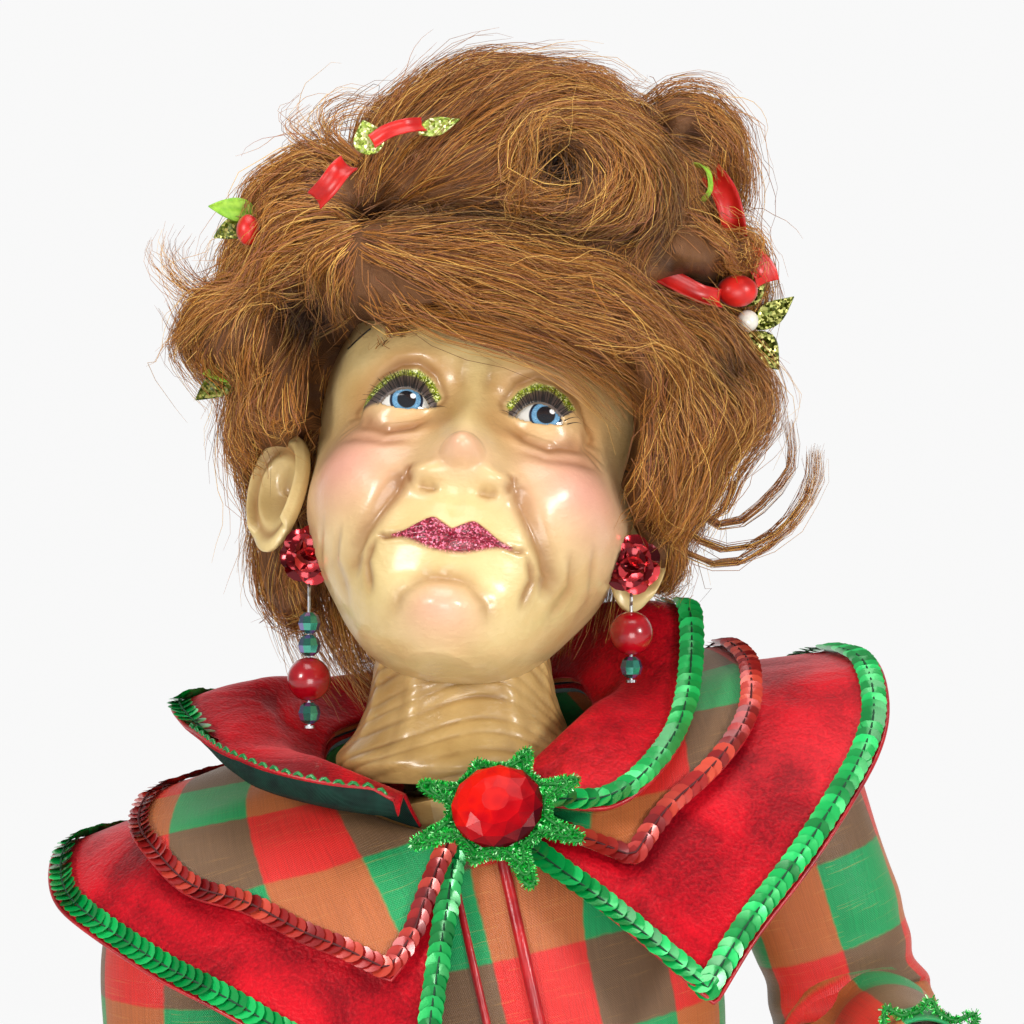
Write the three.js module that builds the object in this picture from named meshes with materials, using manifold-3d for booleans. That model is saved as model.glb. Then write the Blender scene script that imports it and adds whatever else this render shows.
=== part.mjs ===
// A standing Christmas doll: cast resin head on a swivel neck, stuffed cloth body with a wire armature,
// taffeta dress with two shoulder capes and a rolled collar, beaded earrings and a jewelled brooch.
// Millimetres, +Z up, the doll faces -Y. Left and right are the doll's own: its left side is +X.
import * as THREE from "three";
import { mergeVertices } from "three/addons/utils/BufferGeometryUtils.js";
import Module from "manifold-3d";

const wasm = await Module();
wasm.setup();

// Driving dimensions
const CLEARANCE = 0.3; // gap between pieces that touch
const CLOTH = 1.2; // cloth with its lining
const FILL_GAP = 0.4; // gap between a cloth skin and its stuffing

const BASE_RADIUS = 84;
const BASE_HEIGHT = 12;
const ROD_RADIUS = 4;
const ROD_SEAT_DEPTH = 8;
const ROD_TOP = 262;

const BOOT_SPACING = 52; // between the middles of the two boots
const BOOT_HEIGHT = 60;
const BOOT_SHAFT_RADIUS = 16;
const BOOT_FOOT_LENGTH = 70;
const BOOT_FOOT_WIDTH = 30;
const BOOT_FOOT_HEIGHT = 24;
const LEG_RADIUS_LOW = 13;
const LEG_RADIUS_HIGH = 19;
const PELVIS_BOTTOM = 232;

const WAIST_HEIGHT = 316; // where the bodice meets the skirt
const WAIST_CENTRE_X = 9;
const WAIST_HALF_WIDTH = 46;
const WAIST_HALF_DEPTH = 36;
const WAISTBAND_HEIGHT = 18;
const HEM_HEIGHT = 6;
const HEM_HALF_WIDTH = 122;
const HEM_HALF_DEPTH = 104;
const SKIRT_FOLDS = 11;
const SKIRT_FOLD_DEPTH = 7;
const HEM_BAND_HEIGHT = 34;

const CHEST_LEAN = THREE.MathUtils.degToRad(13); // the chest leans to the doll's right
const CHEST_PIVOT = new THREE.Vector3(WAIST_CENTRE_X - 1, 0, WAIST_HEIGHT + 4);
const NECK_BASE = 135; // height of the neck's base above the chest pivot, along the leaning chest
const BUST_HALF_WIDTH = 54;
const BUST_HALF_DEPTH = 45;
const NECKLINE_RADIUS = 38.5;
const NECK_Y = 4;

const NECK_FLARE_RADIUS = 34.5;
const NECK_RADIUS = 22.5;
const NECK_PEG_RADIUS = 13;
const NECK_PEG_LENGTH = 16;

const HEAD_FROM_NECK = new THREE.Vector3(2.3684, 4, 68.46); // from the neck's base to the head's middle
const HEAD_ROLL = THREE.MathUtils.degToRad(8); // the crown leans to the doll's left
const HEAD_PITCH = THREE.MathUtils.degToRad(-22); // the chin is raised
const HEAD_YAW = THREE.MathUtils.degToRad(-4);
const EYE_SPACING = 37.2;
const EYE_RADIUS = 10.5;
const EYE_DEPTH = -32;
const EYE_HEIGHT = 10.3;

const SHOULDER_OUT = 82;
const SHOULDER_Z = NECK_BASE - 32;
const SHOULDER_RADIUS = 22;
const ELBOW_RADIUS = 18;
const FOREARM_LENGTH = 58;
const WRIST_RADIUS = 13;
const GLOVE_WRIST_DEPTH = 10;
const ARM_WIRE_RADIUS = 1.5;

const PEARL_RADIUS = 5.9;
const FACET_BEAD_RADIUS = 3;
const BEAD_BORE_RADIUS = 0.8;
const EARRING_PIN_RADIUS = 0.45;
const EARRING_RING_RADIUS = 1.6;
const FLOWER_RADIUS = 7;
const GEM_RADIUS = 12;
const GEM_HEIGHT = 5;
const STAR_OUTER_RADIUS = 21;
const STAR_INNER_RADIUS = 13.5;
const STAR_THICKNESS = 2.6;
const STAR_POINTS = 8;

const ROUND = 20; // sides of a plain round piece

// Materials
const surface = (color, roughness, metalness = 0) =>
  new THREE.MeshStandardMaterial({ color, roughness, metalness });
const MATERIAL = {
  wood: surface(0x6b4a2e, 0.6),
  steel: surface(0xb8babd, 0.35, 1),
  boot: surface(0xa01420, 0.55),
  muslin: surface(0xe3d6bd, 0.95),
  plaid: surface(0xa5482c, 0.45),
  velvet: surface(0xb01024, 0.75),
  piping: surface(0xb51e2b, 0.5),
  resin: surface(0xe6c88e, 0.3),
  eye: surface(0x6fb0d8, 0.1),
  hair: surface(0x7a4a24, 0.6),
  leaf: surface(0x8aa52c, 0.5),
  ribbon: surface(0xd81e1a, 0.4),
  foil: surface(0xb00f20, 0.2, 0.8),
  pearl: surface(0xc3101f, 0.25),
  facet: surface(0x2f6f78, 0.12, 0.9),
  glitter: surface(0x12a038, 0.45),
  gem: surface(0xc4101a, 0.08),
};

// Closed surfaces

// A closed surface from its corners and faces, turned so that its faces point out.
function closedGeometry(points, faces) {
  let volume = 0;
  for (const [a, b, c] of faces) {
    volume += points[a].dot(new THREE.Vector3().crossVectors(points[b], points[c]));
  }
  const index = faces.flatMap(([a, b, c]) => (volume < 0 ? [a, c, b] : [a, b, c]));
  const geometry = new THREE.BufferGeometry().setFromPoints(points);
  geometry.setIndex(index);
  return geometry;
}

// The faces between neighbouring rings of points. A loop of rings closes on its first ring.
function ringFaces(ringCount, sides, loop) {
  const faces = [];
  const last = loop ? ringCount : ringCount - 1;
  for (let i = 0; i < last; i++) {
    const low = i * sides;
    const high = ((i + 1) % ringCount) * sides;
    for (let j = 0; j < sides; j++) {
      const k = (j + 1) % sides;
      faces.push([low + j, low + k, high + k], [low + j, high + k, high + j]);
    }
  }
  return faces;
}

// A solid through a stack of rings, closed by a fan at each end.
function loft(rings) {
  const sides = rings[0].length;
  const points = rings.flat();
  const faces = ringFaces(rings.length, sides, false);
  const middle = (ring) =>
    ring.reduce((sum, p) => sum.add(p), new THREE.Vector3()).divideScalar(sides);
  const bottom = points.push(middle(rings[0])) - 1;
  const top = points.push(middle(rings.at(-1))) - 1;
  const start = (rings.length - 1) * sides;
  for (let j = 0; j < sides; j++) {
    const k = (j + 1) % sides;
    faces.push([bottom, k, j], [top, start + j, start + k]);
  }
  return closedGeometry(points, faces);
}

// A tube wall: its outer rings from one end to the other, then its inner rings back again.
function tubeWall(outer, inner) {
  const rings = [...outer, ...inner.toReversed()];
  return closedGeometry(rings.flat(), ringFaces(rings.length, rings[0].length, true));
}

// A sheet of cloth: a grid of points on its upper side and the same grid on its lower side.
function sheet(upper, lower) {
  const rows = upper.length;
  const columns = upper[0].length;
  const points = [...upper.flat(), ...lower.flat()];
  const under = rows * columns;
  const at = (i, j) => i * columns + j;
  const faces = [];
  const quad = (a, b, c, d) => faces.push([a, b, c], [a, c, d]);
  for (let i = 0; i < rows - 1; i++) {
    for (let j = 0; j < columns - 1; j++) {
      const corners = [at(i, j), at(i + 1, j), at(i + 1, j + 1), at(i, j + 1)];
      quad(...corners);
      quad(...corners.map((corner) => corner + under).toReversed());
    }
  }
  const rim = [];
  for (let j = 0; j < columns - 1; j++) rim.push(at(0, j));
  for (let i = 0; i < rows - 1; i++) rim.push(at(i, columns - 1));
  for (let j = columns - 1; j > 0; j--) rim.push(at(rows - 1, j));
  for (let i = rows - 1; i > 0; i--) rim.push(at(i, 0));
  rim.forEach((a, n) => {
    const b = rim[(n + 1) % rim.length];
    quad(a, b, b + under, a + under);
  });
  return closedGeometry(points, faces);
}

// A horizontal oval ring of points; heightAt gives each point's height from its place in plan.
function oval(centreX, centreY, halfWidth, halfDepth, heightAt, sides = ROUND) {
  return Array.from({ length: sides }, (_, j) => {
    const angle = (2 * Math.PI * j) / sides;
    const x = centreX + halfWidth * Math.sin(angle);
    const y = centreY - halfDepth * Math.cos(angle);
    return new THREE.Vector3(x, y, heightAt(x, y));
  });
}

// A turned solid whose axis runs from one point towards another; the profile is [radius, distance] pairs.
function turned(profile, from, towards, sides = ROUND) {
  const points = profile.map(([radius, along]) => new THREE.Vector2(radius, along));
  const geometry = new THREE.LatheGeometry(points, sides);
  const direction = new THREE.Vector3().subVectors(towards, from).normalize();
  const turn = new THREE.Quaternion().setFromUnitVectors(new THREE.Vector3(0, 1, 0), direction);
  return geometry.applyQuaternion(turn).translate(from.x, from.y, from.z);
}

function ellipsoid(centre, radii, tilt = 0, sides = 10) {
  const geometry = new THREE.SphereGeometry(1, sides, Math.round(sides * 0.67));
  return geometry
    .scale(radii.x, radii.y, radii.z)
    .rotateY(tilt)
    .translate(centre.x, centre.y, centre.z);
}

const vector = (x, y, z) => new THREE.Vector3(x, y, z);

// Booleans

function solid(geometry) {
  const bare = new THREE.BufferGeometry();
  bare.setAttribute("position", geometry.getAttribute("position"));
  bare.setIndex(geometry.index);
  const merged = mergeVertices(bare, 1e-4);
  return new wasm.Manifold(
    new wasm.Mesh({
      numProp: 3,
      vertProperties: merged.getAttribute("position").array,
      triVerts: new Uint32Array(merged.index.array),
    }),
  );
}

function fromSolid(manifold) {
  const mesh = manifold.getMesh();
  const geometry = new THREE.BufferGeometry();
  geometry.setAttribute("position", new THREE.BufferAttribute(mesh.vertProperties, 3));
  geometry.setIndex(new THREE.BufferAttribute(mesh.triVerts, 1));
  return geometry;
}

const joined = (...geometries) => fromSolid(geometries.map(solid).reduce((a, b) => a.add(b)));
const cut = (geometry, ...tools) =>
  fromSolid(tools.map(solid).reduce((left, tool) => left.subtract(tool), solid(geometry)));

// The biggest body that a cut leaves.
function mainBody(geometry) {
  const bodies = solid(geometry).decompose();
  return fromSolid(bodies.reduce((most, body) => (body.volume() > most.volume() ? body : most)));
}

function piece(parent, name, geometry, material) {
  const mesh = new THREE.Mesh(geometry, material);
  mesh.name = name;
  parent.add(mesh);
  return mesh;
}

// Smooth interpolation in a table of [position, value, ...] rows, the same at both ends.
function tableAt(table, position, column = 1) {
  const next = table.findIndex((row) => row[0] >= position);
  if (next <= 0) return table[next === 0 ? 0 : table.length - 1][column];
  const [low, high] = [table[next - 1], table[next]];
  const share = (position - low[0]) / (high[0] - low[0]);
  return low[column] + (high[column] - low[column]) * share * share * (3 - 2 * share);
}

const doll = new THREE.Group();

// Chest: a group that leans to the doll's right
const chest = new THREE.Group();
chest.position.copy(CHEST_PIVOT);
chest.rotation.y = -CHEST_LEAN;
doll.add(chest);
chest.updateMatrixWorld(true);
const chestInverse = chest.matrixWorld.clone().invert();
const neckBase = chest.localToWorld(vector(0, NECK_Y, NECK_BASE));
const headCentre = neckBase.clone().add(HEAD_FROM_NECK);

// Stand: a wooden disc with a steel rod that runs up into the stuffed body
const rodSeat = BASE_HEIGHT - ROD_SEAT_DEPTH;
const up = (radius, low, high, x = 0, y = 0, sides = ROUND) =>
  turned([[0, 0], [radius, 0], [radius, high - low], [0, high - low]], vector(x, y, low), vector(x, y, high), sides);

piece(
  doll,
  "base_disc",
  cut(up(BASE_RADIUS, 0, BASE_HEIGHT, 0, 0, 40), up(ROD_RADIUS + CLEARANCE, rodSeat, BASE_HEIGHT + 1)),
  MATERIAL.wood,
);
piece(doll, "stand_rod", up(ROD_RADIUS, rodSeat + CLEARANCE, ROD_TOP), MATERIAL.steel);

// Legs and boots
const bootSole = BASE_HEIGHT + CLEARANCE;
const bootTop = bootSole + BOOT_HEIGHT;
for (const [side, sign] of [["left", 1], ["right", -1]]) {
  const x = (sign * BOOT_SPACING) / 2;
  const footY = -BOOT_FOOT_LENGTH / 2 + BOOT_SHAFT_RADIUS;
  const foot = ellipsoid(
    vector(x, footY, bootSole + BOOT_FOOT_HEIGHT * 0.35),
    vector(BOOT_FOOT_WIDTH / 2, BOOT_FOOT_LENGTH / 2, BOOT_FOOT_HEIGHT * 0.65),
  );
  const ground = up(BASE_RADIUS, 0, bootSole);
  const shaft = turned(
    [[0, 0], [BOOT_SHAFT_RADIUS * 0.85, 0], [BOOT_SHAFT_RADIUS * 0.9, BOOT_HEIGHT * 0.5],
      [BOOT_SHAFT_RADIUS, BOOT_HEIGHT], [0, BOOT_HEIGHT]],
    vector(x, 0, bootSole), vector(x, 0, bootTop), 16,
  );
  piece(doll, `boot_${side}`, cut(joined(foot, shaft), ground), MATERIAL.boot);
  const legBottom = bootTop + CLEARANCE;
  const legLength = PELVIS_BOTTOM - CLEARANCE - legBottom;
  const calf = LEG_RADIUS_LOW + (LEG_RADIUS_HIGH - LEG_RADIUS_LOW) * 0.6;
  piece(
    doll,
    `leg_${side}`,
    turned(
      [[0, 0], [LEG_RADIUS_LOW, 0], [calf, legLength * 0.3], [calf * 0.93, legLength * 0.5],
        [LEG_RADIUS_HIGH, legLength], [0, legLength]],
      vector(x, 0, legBottom), vector(x, 0, PELVIS_BOTTOM), 14,
    ),
    MATERIAL.muslin,
  );
}

// Stuffed hips, bored for the stand's rod
const flat = (height) => () => height;
const hipHeight = WAIST_HEIGHT - CLEARANCE - PELVIS_BOTTOM;
const hipRing = (share, halfWidth, halfDepth) =>
  oval(WAIST_CENTRE_X * share, 0, halfWidth, halfDepth, flat(PELVIS_BOTTOM + hipHeight * share));
const pelvis = loft([
  hipRing(0, BOOT_SPACING / 2 + LEG_RADIUS_HIGH, LEG_RADIUS_HIGH + 8),
  hipRing(0.3, WAIST_HALF_WIDTH + 5, WAIST_HALF_DEPTH + 4),
  hipRing(0.65, WAIST_HALF_WIDTH + 2, WAIST_HALF_DEPTH + 2),
  hipRing(1, WAIST_HALF_WIDTH - CLOTH - FILL_GAP, WAIST_HALF_DEPTH - CLOTH - FILL_GAP),
]);
piece(
  doll,
  "pelvis_stuffing",
  cut(pelvis, up(ROD_RADIUS + CLEARANCE, PELVIS_BOTTOM - 1, ROD_TOP + CLEARANCE)),
  MATERIAL.muslin,
);

// Skirt: a gathered cloth tube whose folds deepen towards the hem
const SKIRT_SIDES = 44;
const SKIRT_PROFILE = [[0, 0], [0.12, 0.24], [0.3, 0.44], [0.55, 0.66], [0.8, 0.86], [1, 1]];
function skirtRing(share, inset) {
  const height = WAIST_HEIGHT - CLEARANCE - share * (WAIST_HEIGHT - CLEARANCE - HEM_HEIGHT);
  const spread = tableAt(SKIRT_PROFILE, share);
  const halfWidth = WAIST_HALF_WIDTH + spread * (HEM_HALF_WIDTH - WAIST_HALF_WIDTH) - inset;
  const halfDepth = WAIST_HALF_DEPTH + spread * (HEM_HALF_DEPTH - WAIST_HALF_DEPTH) - inset;
  const centreX = WAIST_CENTRE_X * (1 - spread);
  return oval(centreX, 0, halfWidth, halfDepth, flat(height), SKIRT_SIDES).map((p, j) => {
    const angle = (2 * Math.PI * j) / SKIRT_SIDES;
    const wave = Math.sin(SKIRT_FOLDS * angle + 0.6 * Math.sin(2 * angle));
    const fold = (SKIRT_FOLD_DEPTH * spread * spread * wave) / halfWidth;
    return vector(centreX + (p.x - centreX) * (1 + fold), p.y * (1 + fold), p.z);
  });
}
const bandTopShare = 1 - HEM_BAND_HEIGHT / (WAIST_HEIGHT - HEM_HEIGHT);
const skirtShares = [0, 0.12, 0.35, 0.65, bandTopShare, 1];
piece(
  doll,
  "skirt",
  tubeWall(
    skirtShares.map((share) => skirtRing(share, 0)),
    skirtShares.map((share) => skirtRing(share, CLOTH)),
  ),
  MATERIAL.plaid,
);

// Velvet band sewn round the outside of the hem
const bandShares = [bandTopShare, 1];
piece(
  doll,
  "hem_band",
  tubeWall(
    bandShares.map((share) => skirtRing(share, -CLOTH - 2 * CLEARANCE)),
    bandShares.map((share) => skirtRing(share, -2 * CLEARANCE)),
  ),
  MATERIAL.velvet,
);

// Neckline: its height above the neck base by angle from the front, in degrees
const NECKLINE = [[0, -12], [20, -9], [40, -3], [60, 4], [80, 9], [95, 12], [112, 18], [135, 20], [180, 20]];
const fromFront = (degrees) => (degrees > 180 ? 360 - degrees : degrees);
const necklineHeight = (degrees) => NECK_BASE + tableAt(NECKLINE, fromFront(degrees));
const degreesOf = (x, y) => (THREE.MathUtils.radToDeg(Math.atan2(x, NECK_Y - y)) + 360) % 360;

const LOWER_CAPE_DROP = 8; // the lower cape is sewn this far under the neckline
const MIDDLE_CAPE_RISE = CLOTH + FILL_GAP; // the middle cape is sewn this far above the lower one
const MIDDLE_CAPE_LIFT = 3; // and its hem stands off the lower cape by this much more
const BODICE_DROP = LOWER_CAPE_DROP + CLOTH + 4 * CLEARANCE;

// Bodice: a cloth shell from the level waist seam up to the neckline, on the leaning chest
const waistSeam = (x) => (WAIST_HEIGHT + CLEARANCE - CHEST_PIVOT.z - x * Math.sin(CHEST_LEAN)) / Math.cos(CHEST_LEAN);
const BODY_SIDES = 20;
function bodiceRings(inset) {
  const ring = (z, halfWidth, halfDepth) => oval(0, 0, halfWidth - inset, halfDepth - inset, flat(z), BODY_SIDES);
  const topAt = (x, y) => necklineHeight(degreesOf(x, y)) - BODICE_DROP;
  return [
    oval(0, 0, WAIST_HALF_WIDTH - inset, WAIST_HALF_DEPTH - inset, waistSeam, BODY_SIDES),
    ring(28, WAIST_HALF_WIDTH + 2, WAIST_HALF_DEPTH + 4),
    ring(NECK_BASE - 77, BUST_HALF_WIDTH, BUST_HALF_DEPTH),
    ring(NECK_BASE - 51, BUST_HALF_WIDTH + 2, BUST_HALF_DEPTH - 1),
    ring(SHOULDER_Z + 1, BUST_HALF_WIDTH + 10, BUST_HALF_DEPTH - 7),
    oval(0, NECK_Y, NECKLINE_RADIUS - inset, NECKLINE_RADIUS - inset, topAt, BODY_SIDES),
  ];
}
const TORSO_TOP = SHOULDER_Z + 5;
const torsoInset = CLOTH + FILL_GAP;
const torsoRings = [
  ...bodiceRings(CLOTH + 4 * CLEARANCE).slice(0, 5),
  oval(0, 2, BUST_HALF_WIDTH - 6, BUST_HALF_DEPTH - 11, flat(TORSO_TOP), BODY_SIDES),
];

// Arms: each shoulder, the way from it to the elbow and the forearm's direction at rest, in the chest's frame
const ARMS = {
  left: { shoulder: vector(SHOULDER_OUT, NECK_Y, SHOULDER_Z), toElbow: vector(6, 6, -65), reach: vector(0.2, -0.97, -0.12) },
  right: { shoulder: vector(-SHOULDER_OUT - 2, NECK_Y, SHOULDER_Z), toElbow: vector(-17, 4, -65), reach: vector(-0.1, -0.99, 0) },
};
const ELBOW_BENDS = [-45, 6]; // degrees, the elbow's whole range
const armholes = Object.values(ARMS).map(({ shoulder }) =>
  ellipsoid(shoulder, vector(1, 1, 1).multiplyScalar(SHOULDER_RADIUS + 2 * CLEARANCE), 0, ROUND),
);

piece(chest, "bodice", cut(tubeWall(bodiceRings(0), bodiceRings(CLOTH)), ...armholes), MATERIAL.plaid);
piece(chest, "torso_stuffing", cut(loft(torsoRings), ...armholes), MATERIAL.muslin);

// Waistband over the seam
const bandRing = (height, inset) => {
  const centreX = WAIST_CENTRE_X - (height - WAIST_HEIGHT) * Math.tan(CHEST_LEAN);
  return oval(centreX, 0, WAIST_HALF_WIDTH + 4.6 - inset, WAIST_HALF_DEPTH + 4.4 - inset, flat(height), BODY_SIDES);
};
const bandHeights = [WAIST_HEIGHT - WAISTBAND_HEIGHT * 0.15, WAIST_HEIGHT + WAISTBAND_HEIGHT * 0.85];
piece(
  doll,
  "waistband",
  tubeWall(bandHeights.map((z) => bandRing(z, 0)), bandHeights.map((z) => bandRing(z, CLOTH))),
  MATERIAL.velvet,
);

// Neck: turned about a level axis so that it swivels in the shoulder plate
const neckFoot = neckBase.clone().add(vector(0, 0, -6));
function neckProfile(grow) {
  return [
    [0, -NECK_PEG_LENGTH - grow],
    [NECK_PEG_RADIUS + grow, -NECK_PEG_LENGTH - grow],
    [NECK_PEG_RADIUS + grow, -grow],
    [NECK_FLARE_RADIUS - 2 + grow, -grow],
    [NECK_FLARE_RADIUS + grow, 5],
    [NECK_FLARE_RADIUS - 5 + grow, 12],
    [NECK_RADIUS + 3.5 + grow, 20],
    [NECK_RADIUS + 1.5 + grow, 30],
    [NECK_RADIUS + grow, 42],
    [NECK_RADIUS - 1 + grow, 52],
    [0, 52 + grow],
  ];
}
const neckTop = neckFoot.clone().add(vector(0, 0, 1));
const neckSolid = (grow, sides = ROUND) => turned(neckProfile(grow), neckFoot, neckTop, sides);

const plateRings = [
  oval(0, 2, BUST_HALF_WIDTH - 11, BUST_HALF_DEPTH - 12, flat(TORSO_TOP + CLEARANCE), BODY_SIDES),
  oval(0, NECK_Y, NECKLINE_RADIUS - 4, NECKLINE_RADIUS - 5, flat(NECK_BASE - 16), BODY_SIDES),
  oval(0, NECK_Y, NECKLINE_RADIUS - 5, NECKLINE_RADIUS - 5, flat(NECK_BASE - 8), BODY_SIDES),
];
piece(
  chest,
  "shoulder_plate",
  mainBody(cut(loft(plateRings), neckSolid(CLEARANCE, 2 * ROUND).applyMatrix4(chestInverse), ...armholes)),
  MATERIAL.resin,
);

// Capes: each hem is rows of [degrees from the front, radius, height above the neck base],
// counted round by the doll's left, and each front edge slants from the neckline to the hem
const LOWER_HEM = [
  [39, 80, -73], [53, 88, -57], [68, 103, -36], [82, 114, -15], [95, 116, -1], [110, 112, 2], [130, 102, -8],
  [155, 92, -22], [180, 90, -26], [205, 92, -22], [230, 102, -8], [250, 113, -1], [265, 117, -5], [276, 115, -15],
  [290, 100, -33], [305, 88, -52], [320, 80, -68], [338, 73, -80],
];
const MIDDLE_REACH = [
  [40, 62], [53, 67], [68, 78], [88, 83], [110, 84], [140, 78], [180, 74], [220, 78], [250, 86], [270, 92],
  [285, 87], [300, 76], [318, 68], [332, 64],
];
const NECK_EDGES = [8, 354]; // where the capes' front edges start at the neckline
const CAPE_COLUMNS = 30;

function capeHeight(degrees, radius) {
  const away = fromFront(degrees);
  const hemRadius = tableAt(LOWER_HEM, degrees, 1);
  const ringHeight = necklineHeight(degrees) - LOWER_CAPE_DROP;
  const share = (radius - NECKLINE_RADIUS) / (hemRadius - NECKLINE_RADIUS);
  const dome = 1.15 + 0.45 * Math.min(away / 90, 1);
  return ringHeight + (NECK_BASE + tableAt(LOWER_HEM, degrees, 2) - ringHeight) * share ** dome;
}

function cape(hem, rise, lift, rows) {
  const grid = [];
  for (let i = 0; i < rows; i++) {
    const out = i / (rows - 1);
    const first = NECK_EDGES[0] + (hem[0][0] - NECK_EDGES[0]) * out;
    const last = NECK_EDGES[1] + (hem.at(-1)[0] - NECK_EDGES[1]) * out;
    grid.push(
      Array.from({ length: CAPE_COLUMNS }, (_, j) => {
        const degrees = first + ((last - first) * j) / (CAPE_COLUMNS - 1);
        const radius = NECKLINE_RADIUS + (tableAt(hem, degrees) - NECKLINE_RADIUS) * out;
        const angle = THREE.MathUtils.degToRad(degrees);
        const height = capeHeight(degrees, radius) + rise + lift * Math.sqrt(out);
        return vector(radius * Math.sin(angle), NECK_Y - radius * Math.cos(angle), height);
      }),
    );
  }
  const lower = grid.map((row) => row.map((p) => vector(p.x, p.y, p.z - CLOTH)));
  return sheet(grid, lower);
}
piece(chest, "lower_cape", cape(LOWER_HEM, 0, 0, 5), MATERIAL.velvet);
piece(chest, "middle_cape", cape(MIDDLE_REACH, MIDDLE_CAPE_RISE, MIDDLE_CAPE_LIFT, 4), MATERIAL.plaid);

// Collar: stands up from the neckline to a fold line, then rolls outwards to a free edge.
// Each line runs from the doll's left front round the back to its right front, heights from the neck base
const FOLD_LINE = [
  [13, -36, -7], [36, -19, 5], [47, 4, 11], [51, 17, 23], [49, 28, 30], [30, 45, 27], [0, 51, 25],
  [-30, 45, 27], [-50, 27, 31], [-50, 14, 23], [-46, 0, 13], [-36, -18, 8], [-16, -36, -5],
];
const FREE_EDGE = [
  [15, -42, -13], [36, -46, -18], [56, -28, -8], [67, 4, 11], [69, 22, 25], [44, 54, 19], [0, 62, 15],
  [-44, 54, 20], [-73, 20, 31], [-68, -4, 22], [-56, -28, 8], [-36, -42, -2], [-19, -43, -8],
];
const COLLAR_COLUMNS = 25;
const COLLAR_THICKNESS = 1.4;
const linePoints = (rows) =>
  new THREE.CatmullRomCurve3(rows.map(([x, y, z]) => vector(x, y, z + NECK_BASE)), false, "centripetal")
    .getPoints(COLLAR_COLUMNS - 1);

function collar() {
  const fold = linePoints(FOLD_LINE);
  const edge = linePoints(FREE_EDGE);
  const seam = fold.map((p) => {
    const degrees = degreesOf(p.x, p.y);
    const angle = THREE.MathUtils.degToRad(degrees);
    const radius = NECKLINE_RADIUS - CLOTH;
    const height = necklineHeight(degrees) - LOWER_CAPE_DROP + MIDDLE_CAPE_RISE + 4 * CLEARANCE;
    return vector(radius * Math.sin(angle), NECK_Y - radius * Math.cos(angle), height);
  });
  const between = (a, b, share) => a.map((p, j) => p.clone().lerp(b[j], share));
  const rows = [seam, between(seam, fold, 0.6), fold, between(fold, edge, 0.5), edge];
  // The cloth's thickness is laid off away from the neck on the stand and downwards under the roll.
  const under = rows.map((row, i) =>
    row.map((p) => {
      const away = vector(p.x, p.y - NECK_Y, 0).normalize();
      const turn = [0, 0.1, 0.5, 0.9, 1][i];
      const offset = away.multiplyScalar(1 - turn).add(vector(0, 0, -turn)).normalize();
      return p.clone().addScaledVector(offset, COLLAR_THICKNESS);
    }),
  );
  return sheet(rows, under);
}
piece(chest, "upper_collar", collar(), MATERIAL.velvet);

// Piping cord down the front of the bodice
const PIPING_RADIUS = 1.6;
const pipingX = 5;
const frontRings = bodiceRings(-PIPING_RADIUS - CLEARANCE);
const pipingPath = frontRings.slice(0, 5).map((ring, i) => {
  const halfWidth = Math.max(...ring.map((p) => p.x));
  const halfDepth = -Math.min(...ring.map((p) => p.y));
  const y = -halfDepth * Math.sqrt(1 - (pipingX / halfWidth) ** 2);
  const z = i === 0 ? waistSeam(pipingX) + WAISTBAND_HEIGHT * 0.85 + 2 : ring[0].z;
  return vector(pipingX, y - (i === 0 ? 1.6 : 0), z);
});
function cord(points, radius, steps, sides = 6) {
  const section = new THREE.Shape();
  section.absarc(0, 0, radius, 0, 2 * Math.PI);
  const curve = new THREE.CatmullRomCurve3(points, false, "centripetal");
  return new THREE.ExtrudeGeometry(section, { extrudePath: curve, steps, curveSegments: sides / 2, bevelEnabled: false });
}
piece(chest, "front_piping", cord(pipingPath, PIPING_RADIUS, 10), MATERIAL.piping);

// Brooch: a tinsel star with a faceted stone, its pin through the front of the bodice
const brooch = new THREE.Group();
brooch.position.set(7, -49, NECK_BASE - 14);
brooch.rotation.x = THREE.MathUtils.degToRad(57); // it lies on the slope of the chest
chest.add(brooch);
brooch.updateMatrixWorld(true);
const star = new THREE.Shape();
for (let i = 0; i < 2 * STAR_POINTS; i++) {
  const angle = (Math.PI * i) / STAR_POINTS;
  const radius = i % 2 ? STAR_INNER_RADIUS : STAR_OUTER_RADIUS;
  star[i ? "lineTo" : "moveTo"](radius * Math.sin(angle), radius * Math.cos(angle));
}
const starPlate = new THREE.ExtrudeGeometry(star, { depth: STAR_THICKNESS, bevelEnabled: false });
const PIN_RADIUS = 1.6;
const PIN_LENGTH = 22;
const pinX = -6;
const pinY = -9;
const starPin = up(PIN_RADIUS, -PIN_LENGTH, STAR_THICKNESS / 2, pinX, pinY, 10);
const bodiceInBrooch = loft(bodiceRings(-CLEARANCE)).applyMatrix4(brooch.matrix.clone().invert());
piece(brooch, "brooch_star", mainBody(cut(joined(starPlate, starPin), bodiceInBrooch)), MATERIAL.glitter);
const gemFoot = STAR_THICKNESS + CLEARANCE;
piece(
  brooch,
  "brooch_gem",
  turned(
    [[0, 0], [GEM_RADIUS, 0], [GEM_RADIUS, GEM_HEIGHT * 0.25], [GEM_RADIUS * 0.82, GEM_HEIGHT * 0.7],
      [GEM_RADIUS * 0.5, GEM_HEIGHT], [0, GEM_HEIGHT]],
    vector(0, 0, gemFoot), vector(0, 0, gemFoot + 1), 16,
  ),
  MATERIAL.gem,
);

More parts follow.
